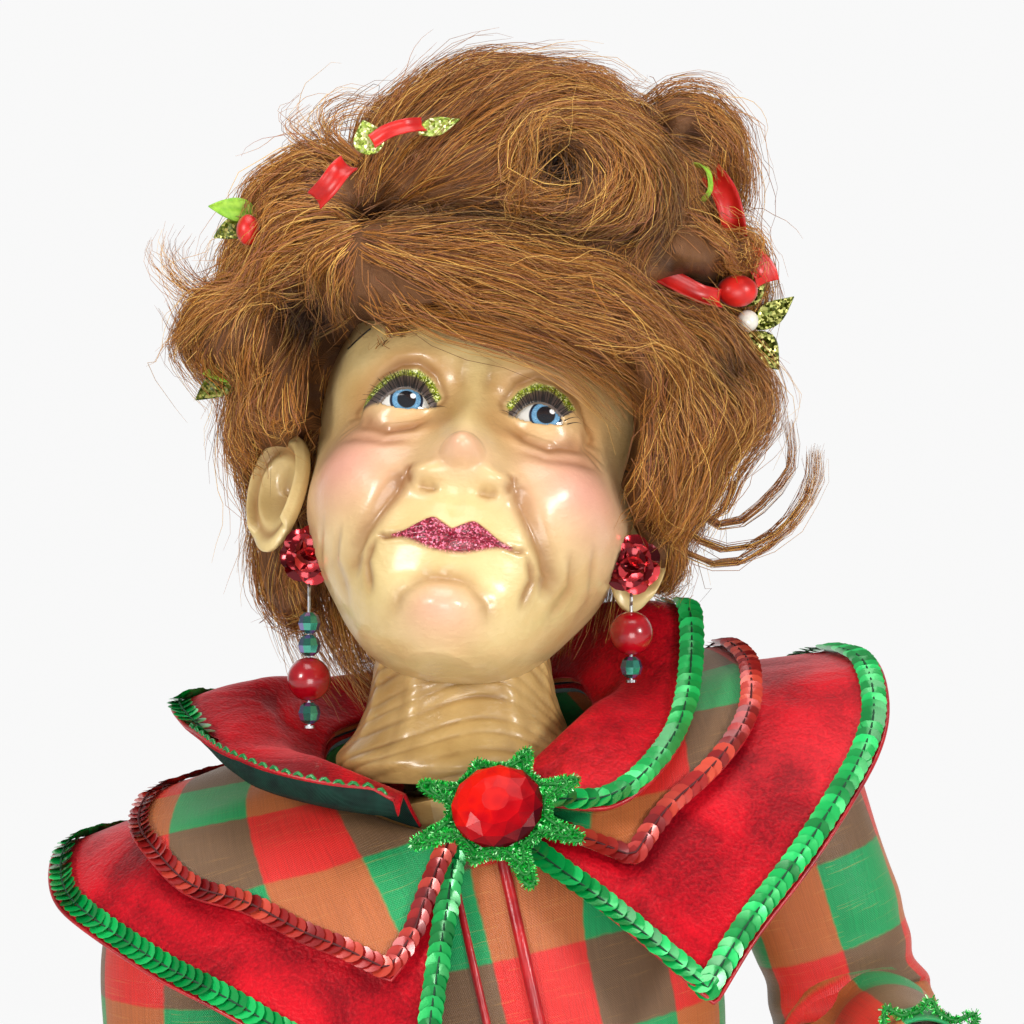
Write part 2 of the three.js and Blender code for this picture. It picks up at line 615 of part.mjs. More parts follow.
// Head: rings of [height, front, back, half width] in the head's own frame
const head = new THREE.Group();
head.position.copy(headCentre);
head.rotation.set(HEAD_PITCH, HEAD_ROLL, HEAD_YAW, "YXZ");
doll.add(head);
head.updateMatrixWorld(true);
const headInverse = head.matrixWorld.clone().invert();
const HEAD_RINGS = [
  [-59, -38, -22, 8], [-56, -42, -10, 15], [-51, -46, 6, 21.5], [-44, -48, 20, 27], [-34, -48, 33, 33],
  [-24, -48, 42, 38.5], [-12, -47, 49, 42], [0, -45, 53, 43.5], [12, -43, 55, 43], [24, -44, 55, 42],
  [38, -42, 52, 39], [52, -34, 44, 32], [62, -18, 30, 18], [65, -4, 14, 8],
];
// Soft bumps and hollows of the face: [x, height, size, half breadth, half tallness], mirrored where x isn't 0
const FACE_FORMS = [
  [0, -8, 13, 6.5, 6], [0, 3, 6, 5.5, 9], [8, -13, 5.5, 4.5, 4], [25, -7, 5.5, 11, 10], [0, -49, 5, 9, 7],
  [0, -27, 3, 16, 9], [0, -25, 1.6, 9, 3], [EYE_SPACING / 2, 13, -2.4, 10, 6.5], [EYE_SPACING / 2, 25, 2.2, 13, 5],
];
const HEAD_SIDES = 24;
const HEAD_LEVELS = [-59, -56, -50, -44, -37, -31, -26, -21, -15, -11, -7, -1, 5, 11, 18, 26, 38, 50, 60, 65];
function headSolid(grow) {
  const rings = HEAD_LEVELS.map((height, i, all) => {
    const [front, back, half] = [1, 2, 3].map((column) => tableAt(HEAD_RINGS, height, column));
    const middle = (front + back) / 2;
    const z = height + (i === 0 ? -grow : i === all.length - 1 ? grow : 0);
    return Array.from({ length: HEAD_SIDES }, (_, j) => {
      const even = (2 * Math.PI * j) / HEAD_SIDES;
      const angle = even - 0.65 * Math.sin(even); // closer together on the face
      const out = vector(Math.sin(angle), -Math.cos(angle), 0);
      const base = vector(half * out.x, middle + ((back - front) / 2) * out.y, z);
      const facing = Math.max(0, -out.y);
      const bulge = FACE_FORMS.reduce((sum, [x, level, size, breadth, tallness]) => {
        const near = Math.exp(-(((Math.abs(base.x) - x) / breadth) ** 2) - ((height - level) / tallness) ** 2);
        return sum + size * near * Math.min(1, facing * 3);
      }, 0);
      return base.addScaledVector(out, bulge + grow);
    });
  });
  return loft(rings);
}
const EAR = { x: 44, y: 10, z: -4 };
const ears = [1, -1].map((sign) =>
  ellipsoid(vector(sign * EAR.x, EAR.y, EAR.z), vector(5, 10, 17), sign * 0.25),
);
const eyeCentres = { left: vector(EYE_SPACING / 2, EYE_DEPTH, EYE_HEIGHT), right: vector(-EYE_SPACING / 2, EYE_DEPTH, EYE_HEIGHT) };
const ball = (centre, radius, sides) => ellipsoid(centre, vector(radius, radius, radius), 0, sides);
const eyeSockets = Object.values(eyeCentres).map((centre) => ball(centre, EYE_RADIUS + CLEARANCE, 12));
const skull = joined(headSolid(0), ...ears);
piece(head, "head", cut(skull, neckSolid(CLEARANCE).applyMatrix4(headInverse), ...eyeSockets), MATERIAL.resin);
for (const [side, centre] of Object.entries(eyeCentres)) {
  piece(head, `eye_${side}`, ball(centre, EYE_RADIUS, 12), MATERIAL.eye);
}
piece(doll, "neck", neckSolid(0), MATERIAL.resin);

// Wig: swelling rolls of hair, each [x, y, z from the head's middle, half width, half depth, half height, tilt],
// upright in the doll's frame
const HAIR_ROLLS = [
  [0, 20, 30, 58, 56, 50, 0], [10, 12, 78, 52, 44, 46, 0], [58, 14, 94, 17, 26, 22, 0], [-40, 10, 64, 27, 36, 36, 0],
  [-58, 2, 46, 20, 24, 15, 0], [-48, 8, 18, 18, 28, 38, 0], [-50, 18, -14, 11, 18, 20, 0], [8, -30, 50, 54, 22, 22, 0.33],
  [55, 0, 20, 28, 32, 36, 0], [54, 8, -3, 22, 24, 20, 0], [0, 52, 42, 58, 38, 58, 0], [-2, 30, -14, 36, 22, 20, 0],
  [48, 4, 62, 33, 34, 26, 0], [20, -16, 80, 40, 24, 26, 0],
];
const intoHead = new THREE.Matrix4().multiplyMatrices(headInverse, new THREE.Matrix4().setPosition(headCentre));
function hair(grow) {
  return joined(
    ...HAIR_ROLLS.map(([x, y, z, wide, deep, tall, tilt]) =>
      ellipsoid(vector(x, y, z), vector(wide + grow, deep + grow, tall + grow), tilt, 9).applyMatrix4(intoHead),
    ),
  );
}
const wigged = hair(CLEARANCE);
const grownEars = [1, -1].map((sign) =>
  ellipsoid(vector(sign * EAR.x, EAR.y, EAR.z), vector(5, 10, 17).addScalar(CLEARANCE), sign * 0.25),
);
const grownHead = joined(headSolid(CLEARANCE), ...grownEars);
const neckInHead = neckSolid(2 * CLEARANCE).applyMatrix4(headInverse);
// Hair swept clear of the face: a hollow in front of the eyes, cheeks and ears
const faceClear = ellipsoid(vector(0, -44, -12), vector(48, 38, 50), 0, 14);
piece(head, "wig", mainBody(cut(hair(0), grownHead, neckInHead, faceClear)), MATERIAL.hair);

// Sprigs and ribbon loops pinned into the hair: the sprig's foot, then each leaf's [length direction, length]
const SPRIGS = {
  sprig_left_low: { foot: vector(76, 4, 48), leaves: [vector(1, -0.1, 0.5), vector(0.8, -0.2, -0.8)], length: 15, berry: true },
  sprig_right_high: { foot: vector(-62, 0, 80), leaves: [vector(-1, -0.2, 0.2), vector(-0.9, -0.3, -0.6)], length: 14 },
  sprig_right_low: { foot: vector(-60, 6, 30), leaves: [vector(-1, -0.2, -0.1)], length: 15 },
  sprig_top: { foot: vector(-24, -15, 98), leaves: [vector(-0.8, -0.5, 0.5), vector(0.9, -0.5, 0.4)], length: 13 },
};
const LEAF_HALF_WIDTH = 4;
const LEAF_HALF_THICKNESS = 1.2;
const BERRY_RADIUS = 3.2;
function leaf(foot, direction, length) {
  const turn = new THREE.Quaternion().setFromUnitVectors(vector(1, 0, 0), direction.clone().normalize());
  const blade = new THREE.SphereGeometry(1, 8, 5).scale(length / 2, LEAF_HALF_THICKNESS, LEAF_HALF_WIDTH);
  const middle = foot.clone().addScaledVector(direction.clone().normalize(), length / 2 - 1.5);
  return blade.applyQuaternion(turn).translate(middle.x, middle.y, middle.z);
}
const rooted = (geometry) => mainBody(cut(geometry.applyMatrix4(intoHead), wigged));
for (const [name, { foot, leaves, length, berry }] of Object.entries(SPRIGS)) {
  const blades = leaves.map((direction) => leaf(foot, direction, length));
  const core = ball(foot, berry ? BERRY_RADIUS : LEAF_HALF_THICKNESS * 2, 8);
  piece(head, name, rooted(joined(core, ...blades)), MATERIAL.leaf);
}
const RIBBON_LOOPS = {
  ribbon_left_high: { middle: vector(70, 10, 78), radii: vector(4, 6, 13), tilt: 0.15 },
  ribbon_right_high: { middle: vector(-38, -20, 87), radii: vector(4, 4, 6), tilt: 0.4 },
  ribbon_left_low: { middle: vector(72, -2, 60), radii: vector(8, 4, 4.5), tilt: 0.3 },
};
for (const [name, { middle, radii, tilt }] of Object.entries(RIBBON_LOOPS)) {
  piece(head, name, rooted(ellipsoid(middle, radii, tilt, 10)), MATERIAL.ribbon);
}

// Earrings: a foil flower glued to the lobe, and a drop that hangs from the flower's hook and swings.
// The drop is a wire pin with an eye at its top and beads threaded on it. Hooks are from the head's middle
const EARRINGS = {
  left: { hook: vector(43, -16, -25.5), beads: ["pearl", "tip"] },
  right: { hook: vector(-43.5, -16, -23), beads: ["bead_1", "bead_2", "pearl", "tip"] },
};
const HOOK_RADIUS = 0.6;
const HOOK_LENGTH = 3.4;
const hung = (profile, top) =>
  turned(profile.map(([radius, drop]) => [radius, -drop]).toReversed(), top, top.clone().add(vector(0, 0, 1)), 10);
const roundBead = (radius, top) => {
  const profile = [];
  const reach = Math.acos(BEAD_BORE_RADIUS / radius);
  const steps = 6;
  for (let i = 0; i <= steps; i++) {
    const angle = -reach + (2 * reach * i) / steps;
    profile.push([radius * Math.cos(angle), radius * (1 + Math.sin(angle))]);
  }
  profile.push(profile[0]);
  return hung(profile, top);
};
const facetBead = (radius, top) => {
  const half = radius * 0.95;
  const profile = [[BEAD_BORE_RADIUS, 0], [radius * 0.62, 0], [radius, half * 0.6], [radius, half * 1.4],
    [radius * 0.62, 2 * half], [BEAD_BORE_RADIUS, 2 * half], [BEAD_BORE_RADIUS, 0]];
  return hung(profile, top);
};
for (const [side, { hook, beads }] of Object.entries(EARRINGS)) {
  const sign = side === "left" ? 1 : -1;
  const top = headCentre.clone().add(hook);
  // The hook is a short bar across the flower's underside, along the swing's axis.
  const bar = turned(
    [[0, 0], [HOOK_RADIUS, 0], [HOOK_RADIUS, HOOK_LENGTH], [0, HOOK_LENGTH]],
    top.clone().add(vector(-HOOK_LENGTH / 2, 0, 0)), top.clone().add(vector(HOOK_LENGTH, 0, 0)), 10,
  );
  const post = up(HOOK_RADIUS, top.z - HOOK_RADIUS, top.z + 5, top.x - (sign * HOOK_LENGTH) / 2 + sign * HOOK_RADIUS, top.y, 8);
  const cup = turned(
    [[0, 0], [FLOWER_RADIUS * 0.5, 0], [FLOWER_RADIUS, 4], [FLOWER_RADIUS * 0.9, 5.5], [0, 3.5]],
    top.clone().add(vector(0, 4.5, FLOWER_RADIUS + 1.6)), top.clone().add(vector(0, -10, FLOWER_RADIUS + 3)), 10,
  );
  const lobeStem = turned(
    [[0, 0], [1.2, 0], [1.2, 16], [0, 16]],
    top.clone().add(vector(0, 4, FLOWER_RADIUS + 1.6)), top.clone().add(vector(sign * 1.5, 16, FLOWER_RADIUS + 4)), 8,
  );
  const flower = joined(bar, post, cup, lobeStem).applyMatrix4(headInverse);
  piece(head, `earring_flower_${side}`, mainBody(cut(flower, grownHead, wigged)), MATERIAL.foil);

  const ringDrop = EARRING_RING_RADIUS - EARRING_PIN_RADIUS - HOOK_RADIUS - CLEARANCE;
  const ring = new THREE.TorusGeometry(EARRING_RING_RADIUS, EARRING_PIN_RADIUS, 6, 10)
    .rotateY(Math.PI / 2)
    .translate(top.x, top.y, top.z - ringDrop);
  let beadTop = top.z - 2 * EARRING_RING_RADIUS - (side === "right" ? 3.2 : 0.4);
  const pinTop = top.z - ringDrop - EARRING_RING_RADIUS;
  for (const bead of beads) {
    const radius = bead === "pearl" ? PEARL_RADIUS : FACET_BEAD_RADIUS;
    const start = vector(top.x, top.y, beadTop);
    const made = bead === "pearl" ? roundBead(radius, start) : facetBead(radius, start);
    piece(doll, `earring_${bead}_${side}`, made, bead === "pearl" ? MATERIAL.pearl : MATERIAL.facet);
    beadTop -= (bead === "pearl" ? 2 : 1.9) * radius + CLEARANCE;
  }
  const pin = up(EARRING_PIN_RADIUS, beadTop - 0.4, pinTop, top.x, top.y, 8);
  const foot = up(BEAD_BORE_RADIUS + 0.6, beadTop - 1, beadTop - CLEARANCE, top.x, top.y, 8);
  piece(doll, `earring_pin_${side}`, joined(ring, pin, foot), MATERIAL.steel);
}

// Arms: a stuffed core in a cloth sleeve, above and below the elbow, and a stuffed velvet glove.
// The forearm turns on a ball at the elbow, and the upper arm is cut clear of its sweep
const ARM_SIDES = 12;
for (const [side, { shoulder, toElbow, reach }] of Object.entries(ARMS)) {
  const along = reach.clone().normalize();
  const elbow = shoulder.clone().add(toElbow);
  const upperLength = toElbow.length();
  const axis = new THREE.Vector3().crossVectors(toElbow, along).normalize();
  const wrist = elbow.clone().addScaledVector(along, FOREARM_LENGTH);

  // Half profiles along each axis, with the ball ends as arcs
  const arc = (radius, from, to, steps, centre = 0) =>
    Array.from({ length: steps + 1 }, (_, i) => {
      const angle = from + ((to - from) * i) / steps;
      return [Math.max(0, radius * Math.sin(angle)), centre - radius * Math.cos(angle)];
    });
  const upperProfile = (inset) => [
    ...arc(SHOULDER_RADIUS - inset, 0, Math.PI * 0.5, 4),
    [SHOULDER_RADIUS - 1 - inset, upperLength * 0.5],
    [ELBOW_RADIUS + 3.2 - inset, upperLength - 4],
    [ELBOW_RADIUS + 2.6 - inset, upperLength + 4],
  ];
  const forearmProfile = (inset) => [
    ...arc(ELBOW_RADIUS - inset, 0, Math.PI * 0.62, 5),
    [(ELBOW_RADIUS + WRIST_RADIUS) / 2 + 1 - inset, FOREARM_LENGTH * 0.6],
    [WRIST_RADIUS - inset, FOREARM_LENGTH],
  ];
  const sealed = (profile) => [...profile, [0, profile.at(-1)[1]]];
  const sleeve = (outer, inner) => [...outer, ...inner.toReversed()];

  // Room for the forearm over its whole bend: the elbow's ball and the shaft at several bends
  const room = [ball(elbow, ELBOW_RADIUS + FILL_GAP, ARM_SIDES)];
  const SWEEP_STEPS = 3;
  const shaftRadius = ELBOW_RADIUS - 0.6;
  for (let i = 0; i <= SWEEP_STEPS; i++) {
    const bend = THREE.MathUtils.degToRad(
      ELBOW_BENDS[0] + ((ELBOW_BENDS[1] - ELBOW_BENDS[0]) * i) / SWEEP_STEPS,
    );
    const towards = elbow.clone().add(along.clone().applyAxisAngle(axis, bend));
    const shaft = [[0, 4], [shaftRadius, 4], [shaftRadius, FOREARM_LENGTH], [0, FOREARM_LENGTH]];
    room.push(turned(shaft, elbow, towards, ARM_SIDES));
  }
  const wireBore = (from, to, radius, length) =>
    turned([[0, 0], [radius, 0], [radius, length], [0, length]], from, to, 8);

  const upperSleeve = turned(sleeve(upperProfile(0), upperProfile(CLOTH)), shoulder, elbow, ARM_SIDES);
  piece(chest, `upper_sleeve_${side}`, cut(upperSleeve, ...room), MATERIAL.plaid);
  // The stuffing stops short of the elbow's ball.
  const coreLength = upperLength - ELBOW_RADIUS - 4;
  const coreProfile = [...upperProfile(torsoInset).filter(([, z]) => z < coreLength), [ELBOW_RADIUS, coreLength]];
  const upperCore = turned(sealed(coreProfile), shoulder, elbow, ARM_SIDES);
  const bore = wireBore(shoulder, elbow, ARM_WIRE_RADIUS + CLEARANCE, upperLength);
  piece(chest, `upper_arm_${side}`, cut(upperCore, bore), MATERIAL.muslin);
  const wireStart = shoulder.clone().addScaledVector(toElbow.clone().normalize(), CLEARANCE);
  piece(chest, `arm_wire_${side}`, wireBore(wireStart, elbow, ARM_WIRE_RADIUS, coreLength), MATERIAL.steel);

  const forearmSleeve = turned(sleeve(forearmProfile(0), forearmProfile(CLOTH)), elbow, wrist, ARM_SIDES);
  piece(chest, `forearm_sleeve_${side}`, forearmSleeve, MATERIAL.plaid);
  const coreEnd = FOREARM_LENGTH - GLOVE_WRIST_DEPTH - CLEARANCE;
  const shortCore = forearmProfile(torsoInset).filter(([, z]) => z < coreEnd);
  const coreRadius = WRIST_RADIUS - torsoInset;
  const forearmBore = wireBore(elbow, wrist, ARM_WIRE_RADIUS + CLEARANCE, FOREARM_LENGTH);
  const forearmCore = turned(sealed([...shortCore, [coreRadius, coreEnd]]), elbow, wrist, ARM_SIDES);
  piece(chest, `forearm_${side}`, cut(forearmCore, forearmBore), MATERIAL.muslin);
  const forearmWireStart = elbow.clone().addScaledVector(along, CLEARANCE);
  piece(chest, `forearm_wire_${side}`, wireBore(forearmWireStart, wrist, ARM_WIRE_RADIUS, coreEnd - 1), MATERIAL.steel);

  // Glove: a palm, four fingers and a thumb, along the forearm
  const hand = new THREE.Group();
  const palmUp = vector(0, 0, 1).addScaledVector(along, -along.z).normalize();
  const across = new THREE.Vector3().crossVectors(along, palmUp);
  hand.matrixAutoUpdate = false;
  hand.matrix.makeBasis(across, along, palmUp).setPosition(wrist);
  chest.add(hand);
  const gloveRadius = WRIST_RADIUS - CLOTH - FILL_GAP;
  const cuffEnd = turned(
    [[0, -GLOVE_WRIST_DEPTH], [gloveRadius, -GLOVE_WRIST_DEPTH], [gloveRadius, 4], [0, 4]],
    vector(0, 0, 0), vector(0, 1, 0), ARM_SIDES,
  );
  const palm = ellipsoid(vector(0, 15, 0), vector(14, 18, 9.5), 0, 8);
  const FINGER_RADIUS = 4.2;
  const fingers = [-1.5, -0.5, 0.5, 1.5].map((n) =>
    ellipsoid(vector(n * 6.2, 34 - Math.abs(n) * 2, -2 - Math.abs(n)), vector(FINGER_RADIUS, 14, FINGER_RADIUS), 0, 6),
  );
  const thumbSign = side === "left" ? 1 : -1;
  const thumb = ellipsoid(vector(thumbSign * 13, 16, -1), vector(4.6, 11, 4.6), 0, 6);
  piece(hand, `glove_${side}`, joined(cuffEnd, palm, thumb, ...fingers), MATERIAL.velvet);

  // Tinsel star round the sleeve's end
  const CUFF_POINTS = 9;
  const CUFF_REACH = 6;
  const cuffStar = new THREE.Shape();
  const cuffRadius = WRIST_RADIUS + CLEARANCE + 0.6;
  for (let i = 0; i < 2 * CUFF_POINTS; i++) {
    const angle = (Math.PI * i) / CUFF_POINTS;
    const radius = cuffRadius + (i % 2 ? 2.2 : CUFF_REACH);
    cuffStar[i ? "lineTo" : "moveTo"](radius * Math.sin(angle), radius * Math.cos(angle));
  }
  const CUFF_DEPTH = 2.4;
  const cuffPlate = new THREE.ExtrudeGeometry(cuffStar, { depth: CUFF_DEPTH, bevelEnabled: false })
    .rotateX(-Math.PI / 2)
    .translate(0, -CUFF_DEPTH - 1, 0);
  const cuffHole = turned(
    [[0, -9], [cuffRadius, -9], [cuffRadius, 9], [0, 9]],
    vector(0, 0, 0), vector(0, 1, 0), ARM_SIDES,
  );
  piece(hand, `cuff_star_${side}`, cut(cuffPlate, cuffHole), MATERIAL.glitter);
}

export default doll;
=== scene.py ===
"""Looks of a standing Christmas doll: resin head, mohair wig, check taffeta dress with velvet capes.

The doll faces -Y and its left is +X. Sizes are millimetres in the doll's frame; meshes are made in metres.
"""
import math

import bmesh
import bpy
import numpy as np
from mathutils import Matrix, Vector
from mathutils.bvhtree import BVHTree


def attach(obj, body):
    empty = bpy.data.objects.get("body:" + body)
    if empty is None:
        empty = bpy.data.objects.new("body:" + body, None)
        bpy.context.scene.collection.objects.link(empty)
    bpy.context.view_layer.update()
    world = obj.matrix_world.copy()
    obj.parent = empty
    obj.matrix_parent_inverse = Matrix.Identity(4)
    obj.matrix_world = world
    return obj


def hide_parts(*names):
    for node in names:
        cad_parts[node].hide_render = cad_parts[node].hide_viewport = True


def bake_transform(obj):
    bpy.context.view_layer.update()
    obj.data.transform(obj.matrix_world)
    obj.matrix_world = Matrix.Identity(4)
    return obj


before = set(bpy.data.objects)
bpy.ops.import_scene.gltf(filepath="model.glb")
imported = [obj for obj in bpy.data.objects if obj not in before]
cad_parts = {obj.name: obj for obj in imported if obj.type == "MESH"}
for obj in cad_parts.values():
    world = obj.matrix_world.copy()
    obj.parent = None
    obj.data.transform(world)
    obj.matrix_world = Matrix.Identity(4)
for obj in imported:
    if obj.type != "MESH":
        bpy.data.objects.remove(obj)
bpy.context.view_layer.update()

bpy.context.scene.view_settings.view_transform = "Standard"


# The stand is a turned beech disc, stained dark, with a rounded upper edge.
# A bright steel rod is pressed into it and runs up the back of the legs into the stuffed hips.
MM = 0.001
BASE_RADIUS = 84
BASE_HEIGHT = 12
BASE_EDGE = (6, 5)
ROD_HOLE = 4.3
FOOT_EDGE = 14


def paint(red, green, blue):
    """A colour as it looks on a screen, 0 to 255, as the light values that a shader takes."""
    lights = [c / 255 / 12.92 if c <= 10 else ((c / 255 + 0.055) / 1.055) ** 2.4 for c in (red, green, blue)]
    return (*lights, 1.0)


def wire(tree, value, socket):
    if isinstance(value, bpy.types.Node):
        value = value.outputs[0]
    if isinstance(value, bpy.types.NodeSocket):
        tree.links.new(value, socket)
    else:
        socket.default_value = value


def add(tree, kind, settings=None, **inputs):
    """A node with its inputs set or linked: Some_Name=... by name, i0=... by number."""
    made = tree.nodes.new(kind)
    for name, value in (settings or {}).items():
        setattr(made, name, value)
    for name, value in inputs.items():
        by_number = name[0] == "i" and name[1:].isdigit()
        socket = made.inputs[int(name[1:])] if by_number else made.inputs[name.replace("_", " ")]
        wire(tree, value, socket)
    return made


def calc(tree, operation, first, second=0.0):
    return add(tree, "ShaderNodeMath", {"operation": operation}, i0=first, i1=second).outputs[0]


def mixed(tree, share, first, second, blend="MIX"):
    settings = {"data_type": "RGBA", "blend_type": blend}
    return add(tree, "ShaderNodeMix", settings, i0=share, i6=first, i7=second).outputs[2]


def ramp(tree, value, *stops):
    """A colour ramp through (place, colour) stops; a plain number is a grey."""
    made = add(tree, "ShaderNodeValToRGB", i0=value)
    marks = made.color_ramp.elements
    while len(marks) < len(stops):
        marks.new(0.5)
    for mark, (place, shade) in zip(marks, stops):
        mark.position = place
        mark.color = shade if isinstance(shade, tuple) else (shade, shade, shade, 1)
    return made.outputs[0]


def coloured(tree, shader, value, *stops):
    """The shader's colour follows a value through (place, colour) stops."""
    wire(tree, ramp(tree, value, *stops), shader.inputs["Base Color"])


def finish(name, **constants):
    """A new material, its tree and its Principled shader with the constants set on its own sockets."""
    material = bpy.data.materials.new(name)
    material.use_nodes = True
    tree = material.node_tree
    shader = tree.nodes["Principled BSDF"]
    for key, value in constants.items():
        shader.inputs[key.replace("_", " ")].default_value = value
    return material, tree, shader


def bumped(tree, height, distance):
    return add(tree, "ShaderNodeBump", Height=height, Distance=distance * MM)


def place_on_object(tree, scale=(1, 1, 1)):
    spot = add(tree, "ShaderNodeTexCoord").outputs["Object"]
    return add(tree, "ShaderNodeMapping", Vector=spot, Scale=scale).outputs[0]


def noise(tree, scale, detail, stretch=(1, 1, 1), **more):
    """Cloudy noise that lies on the piece, 0 to 1; the stretch packs it along each axis."""
    spot = place_on_object(tree, stretch)
    return add(tree, "ShaderNodeTexNoise", Vector=spot, Scale=scale, Detail=detail, **more).outputs[0]


def outward(points, faces):
    """Faces turned so that a closed mesh encloses a positive volume."""
    points = np.asarray(points, float)
    volume = 0.0
    for face in faces:
        corners = points[list(face)]
        for k in range(1, len(face) - 1):
            volume += np.dot(corners[0], np.cross(corners[k], corners[k + 1]))
    return faces if volume > 0 else [tuple(reversed(face)) for face in faces]


def welded(mesh, distance):
    """Join the points of a mesh that are this close, in metres."""
    work = bmesh.new()
    work.from_mesh(mesh)
    bmesh.ops.remove_doubles(work, verts=work.verts, dist=distance)
    work.to_mesh(mesh)
    work.free()


def placed(name, data):
    made = bpy.data.objects.new(name, data)
    bpy.context.scene.collection.objects.link(made)
    return made


def make(name, points, faces, *materials, uv=None, weld=False, sharp=None):
    """A mesh object from points in millimetres; uv is one pair for each point."""
    mesh = bpy.data.meshes.new(name)
    mesh.from_pydata((np.asarray(points, float) * MM).tolist(), [], [tuple(map(int, f)) for f in faces])
    if uv is not None:
        corner = np.empty(len(mesh.loops), int)
        mesh.loops.foreach_get("vertex_index", corner)
        layer = mesh.uv_layers.new(name="cloth")
        layer.data.foreach_set("uv", np.asarray(uv, np.float32)[corner].ravel())
    if weld:
        welded(mesh, 1e-6)
    mesh.shade_smooth()
    if sharp is not None:
        mesh.set_sharp_from_angle(angle=math.radians(sharp))
    for material in materials:
        mesh.materials.append(material)
    return placed(name, mesh)


def put(piece, body, slot, *nodes):
    """The piece rides on a body and stands for the CAD nodes named; the slot is not used."""
    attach(piece, body)
    if nodes:
        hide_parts(*nodes)


def ring_faces(rows, sides):
    """Quads between neighbouring closed rings of points."""
    faces = []
    for row in range(rows - 1):
        low, high = row * sides, (row + 1) * sides
        for j in range(sides):
            k = (j + 1) % sides
            faces.append((low + j, low + k, high + k, high + j))
    return faces


def round_steps(sides):
    return 2 * np.pi * np.arange(sides) / sides


def capped_faces(rows, sides):
    """Quads between closed rings of points, and one face over each end."""
    last = (rows - 1) * sides
    return ring_faces(rows, sides) + [tuple(reversed(range(sides))), tuple(last + j for j in range(sides))]


def turned(profile, sides):
    """Points and faces of a solid turned about Z from [radius, height] pairs."""
    points = [
        (radius * math.cos(a), radius * math.sin(a), height)
        for radius, height in profile for a in round_steps(sides)
    ]
    return np.array(points), outward(points, capped_faces(len(profile), sides))


wood, tree, shader = finish("Stained beech", Roughness=0.42, Coat_Weight=0.25, Coat_Roughness=0.3)
grain = noise(tree, 1.0, 5.0, (30, 400, 400))
rings = add(tree, "ShaderNodeTexWave", Vector=place_on_object(tree), Scale=26.0, Distortion=4.0, Detail=3.0)
streak = calc(tree, "MULTIPLY", calc(tree, "ADD", grain, rings.outputs[1]), 0.5)
coloured(tree, shader, streak, (0.25, paint(52, 30, 17)), (0.75, paint(124, 82, 47)))
wire(tree, bumped(tree, streak, 0.25), shader.inputs["Normal"])

inwards, downwards = BASE_EDGE
edge = [(BASE_RADIUS - inwards * (1 - math.sin(a)), BASE_HEIGHT - downwards + downwards * math.cos(a) * 0.999)
        for a in np.radians(np.linspace(90, 12, 8))]
disc = [(ROD_HOLE, 4), (ROD_HOLE, BASE_HEIGHT - 0.2), (10, BASE_HEIGHT - 0.05)] + edge[::-1]
disc += [(BASE_RADIUS, 2), (BASE_RADIUS - 1.5, 0.1), (BASE_RADIUS - FOOT_EDGE, 0.1), (0.5, 0.1)]
base = make("stand_base", *turned(disc[::-1], 96), wood, sharp=40)
put(base, "figure", "wood", "base_disc")

steel, tree, shader = finish("Drawn steel", Metallic=1.0)
scratch = noise(tree, 1.0, 4.0, (900, 900, 40))
coloured(tree, shader, scratch, (0.3, paint(150, 152, 156)), (0.7, paint(208, 210, 213)))
wire(tree, ramp(tree, scratch, (0.3, 0.22), (0.7, 0.42)), shader.inputs["Roughness"])


def refinish(material, *nodes):
    """A CAD node keeps its shape and takes a better material."""
    for node in nodes:
        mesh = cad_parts[node].data
        mesh.materials.clear()
        mesh.materials.append(material)


refinish(steel, "stand_rod")


# The body is bleached muslin, sewn and stuffed hard: two legs, hips that take the stand's rod, and a torso.
# The boots are stuffed red velvet. Each is filled by a cloth simulation that presses its cover outwards.
SKIN_VOXEL = 4.0
SKIN_TUCK = 0.8
FILL_PRESSURE = 4.0
FILL_FRAMES = 16
FILL_REACH = 1.4


def socket(group, name, kind, way="OUTPUT"):
    return group.interface.new_socket(name, in_out=way, socket_type=f"NodeSocket{kind}")


def vector(tree, operation, **inputs):
    return add(tree, "ShaderNodeVectorMath", {"operation": operation}, **inputs)


def weave_group():
    """Plain weave on Object coordinates: a Height that rises on each thread and a Thread value for colour."""
    group = bpy.data.node_groups.new("Plain weave", "ShaderNodeTree")
    socket(group, "Thread size", "Float", "INPUT")
    socket(group, "Height", "Float")
    socket(group, "Thread", "Float")
    inside = add(group, "NodeGroupInput")
    outside = add(group, "NodeGroupOutput")
    spot = add(group, "ShaderNodeTexCoord").outputs["Object"]
    per_metre = calc(group, "DIVIDE", 2 * math.pi / MM, inside.outputs[0])
    turns = vector(group, "SCALE", i0=spot, Scale=per_metre)
    axes = add(group, "ShaderNodeSeparateXYZ", i0=turns.outputs[0])
    ribs = [calc(group, "SINE", axes.outputs[k]) for k in range(3)]
    height = calc(group, "ADD", calc(group, "MULTIPLY", ribs[0], ribs[2]), ribs[1])
    wire(group, height, outside.inputs["Height"])
    loose = add(group, "ShaderNodeTexNoise", Vector=spot, Scale=260.0, Detail=3.0)
    wire(group, loose.outputs[0], outside.inputs["Thread"])
    return group


plain_weave = weave_group()


def woven(tree, thread_size):
    made = add(tree, "ShaderNodeGroup", {"node_tree": plain_weave})
    made.inputs["Thread size"].default_value = thread_size
    return made


muslin, tree, shader = finish("Muslin", Roughness=0.9)
cloth = woven(tree, 0.7)
coloured(tree, shader, cloth.outputs["Thread"], (0.3, paint(208, 194, 166)), (0.7, paint(234, 224, 202)))
wire(tree, bumped(tree, cloth.outputs["Height"], 0.06), shader.inputs["Normal"])


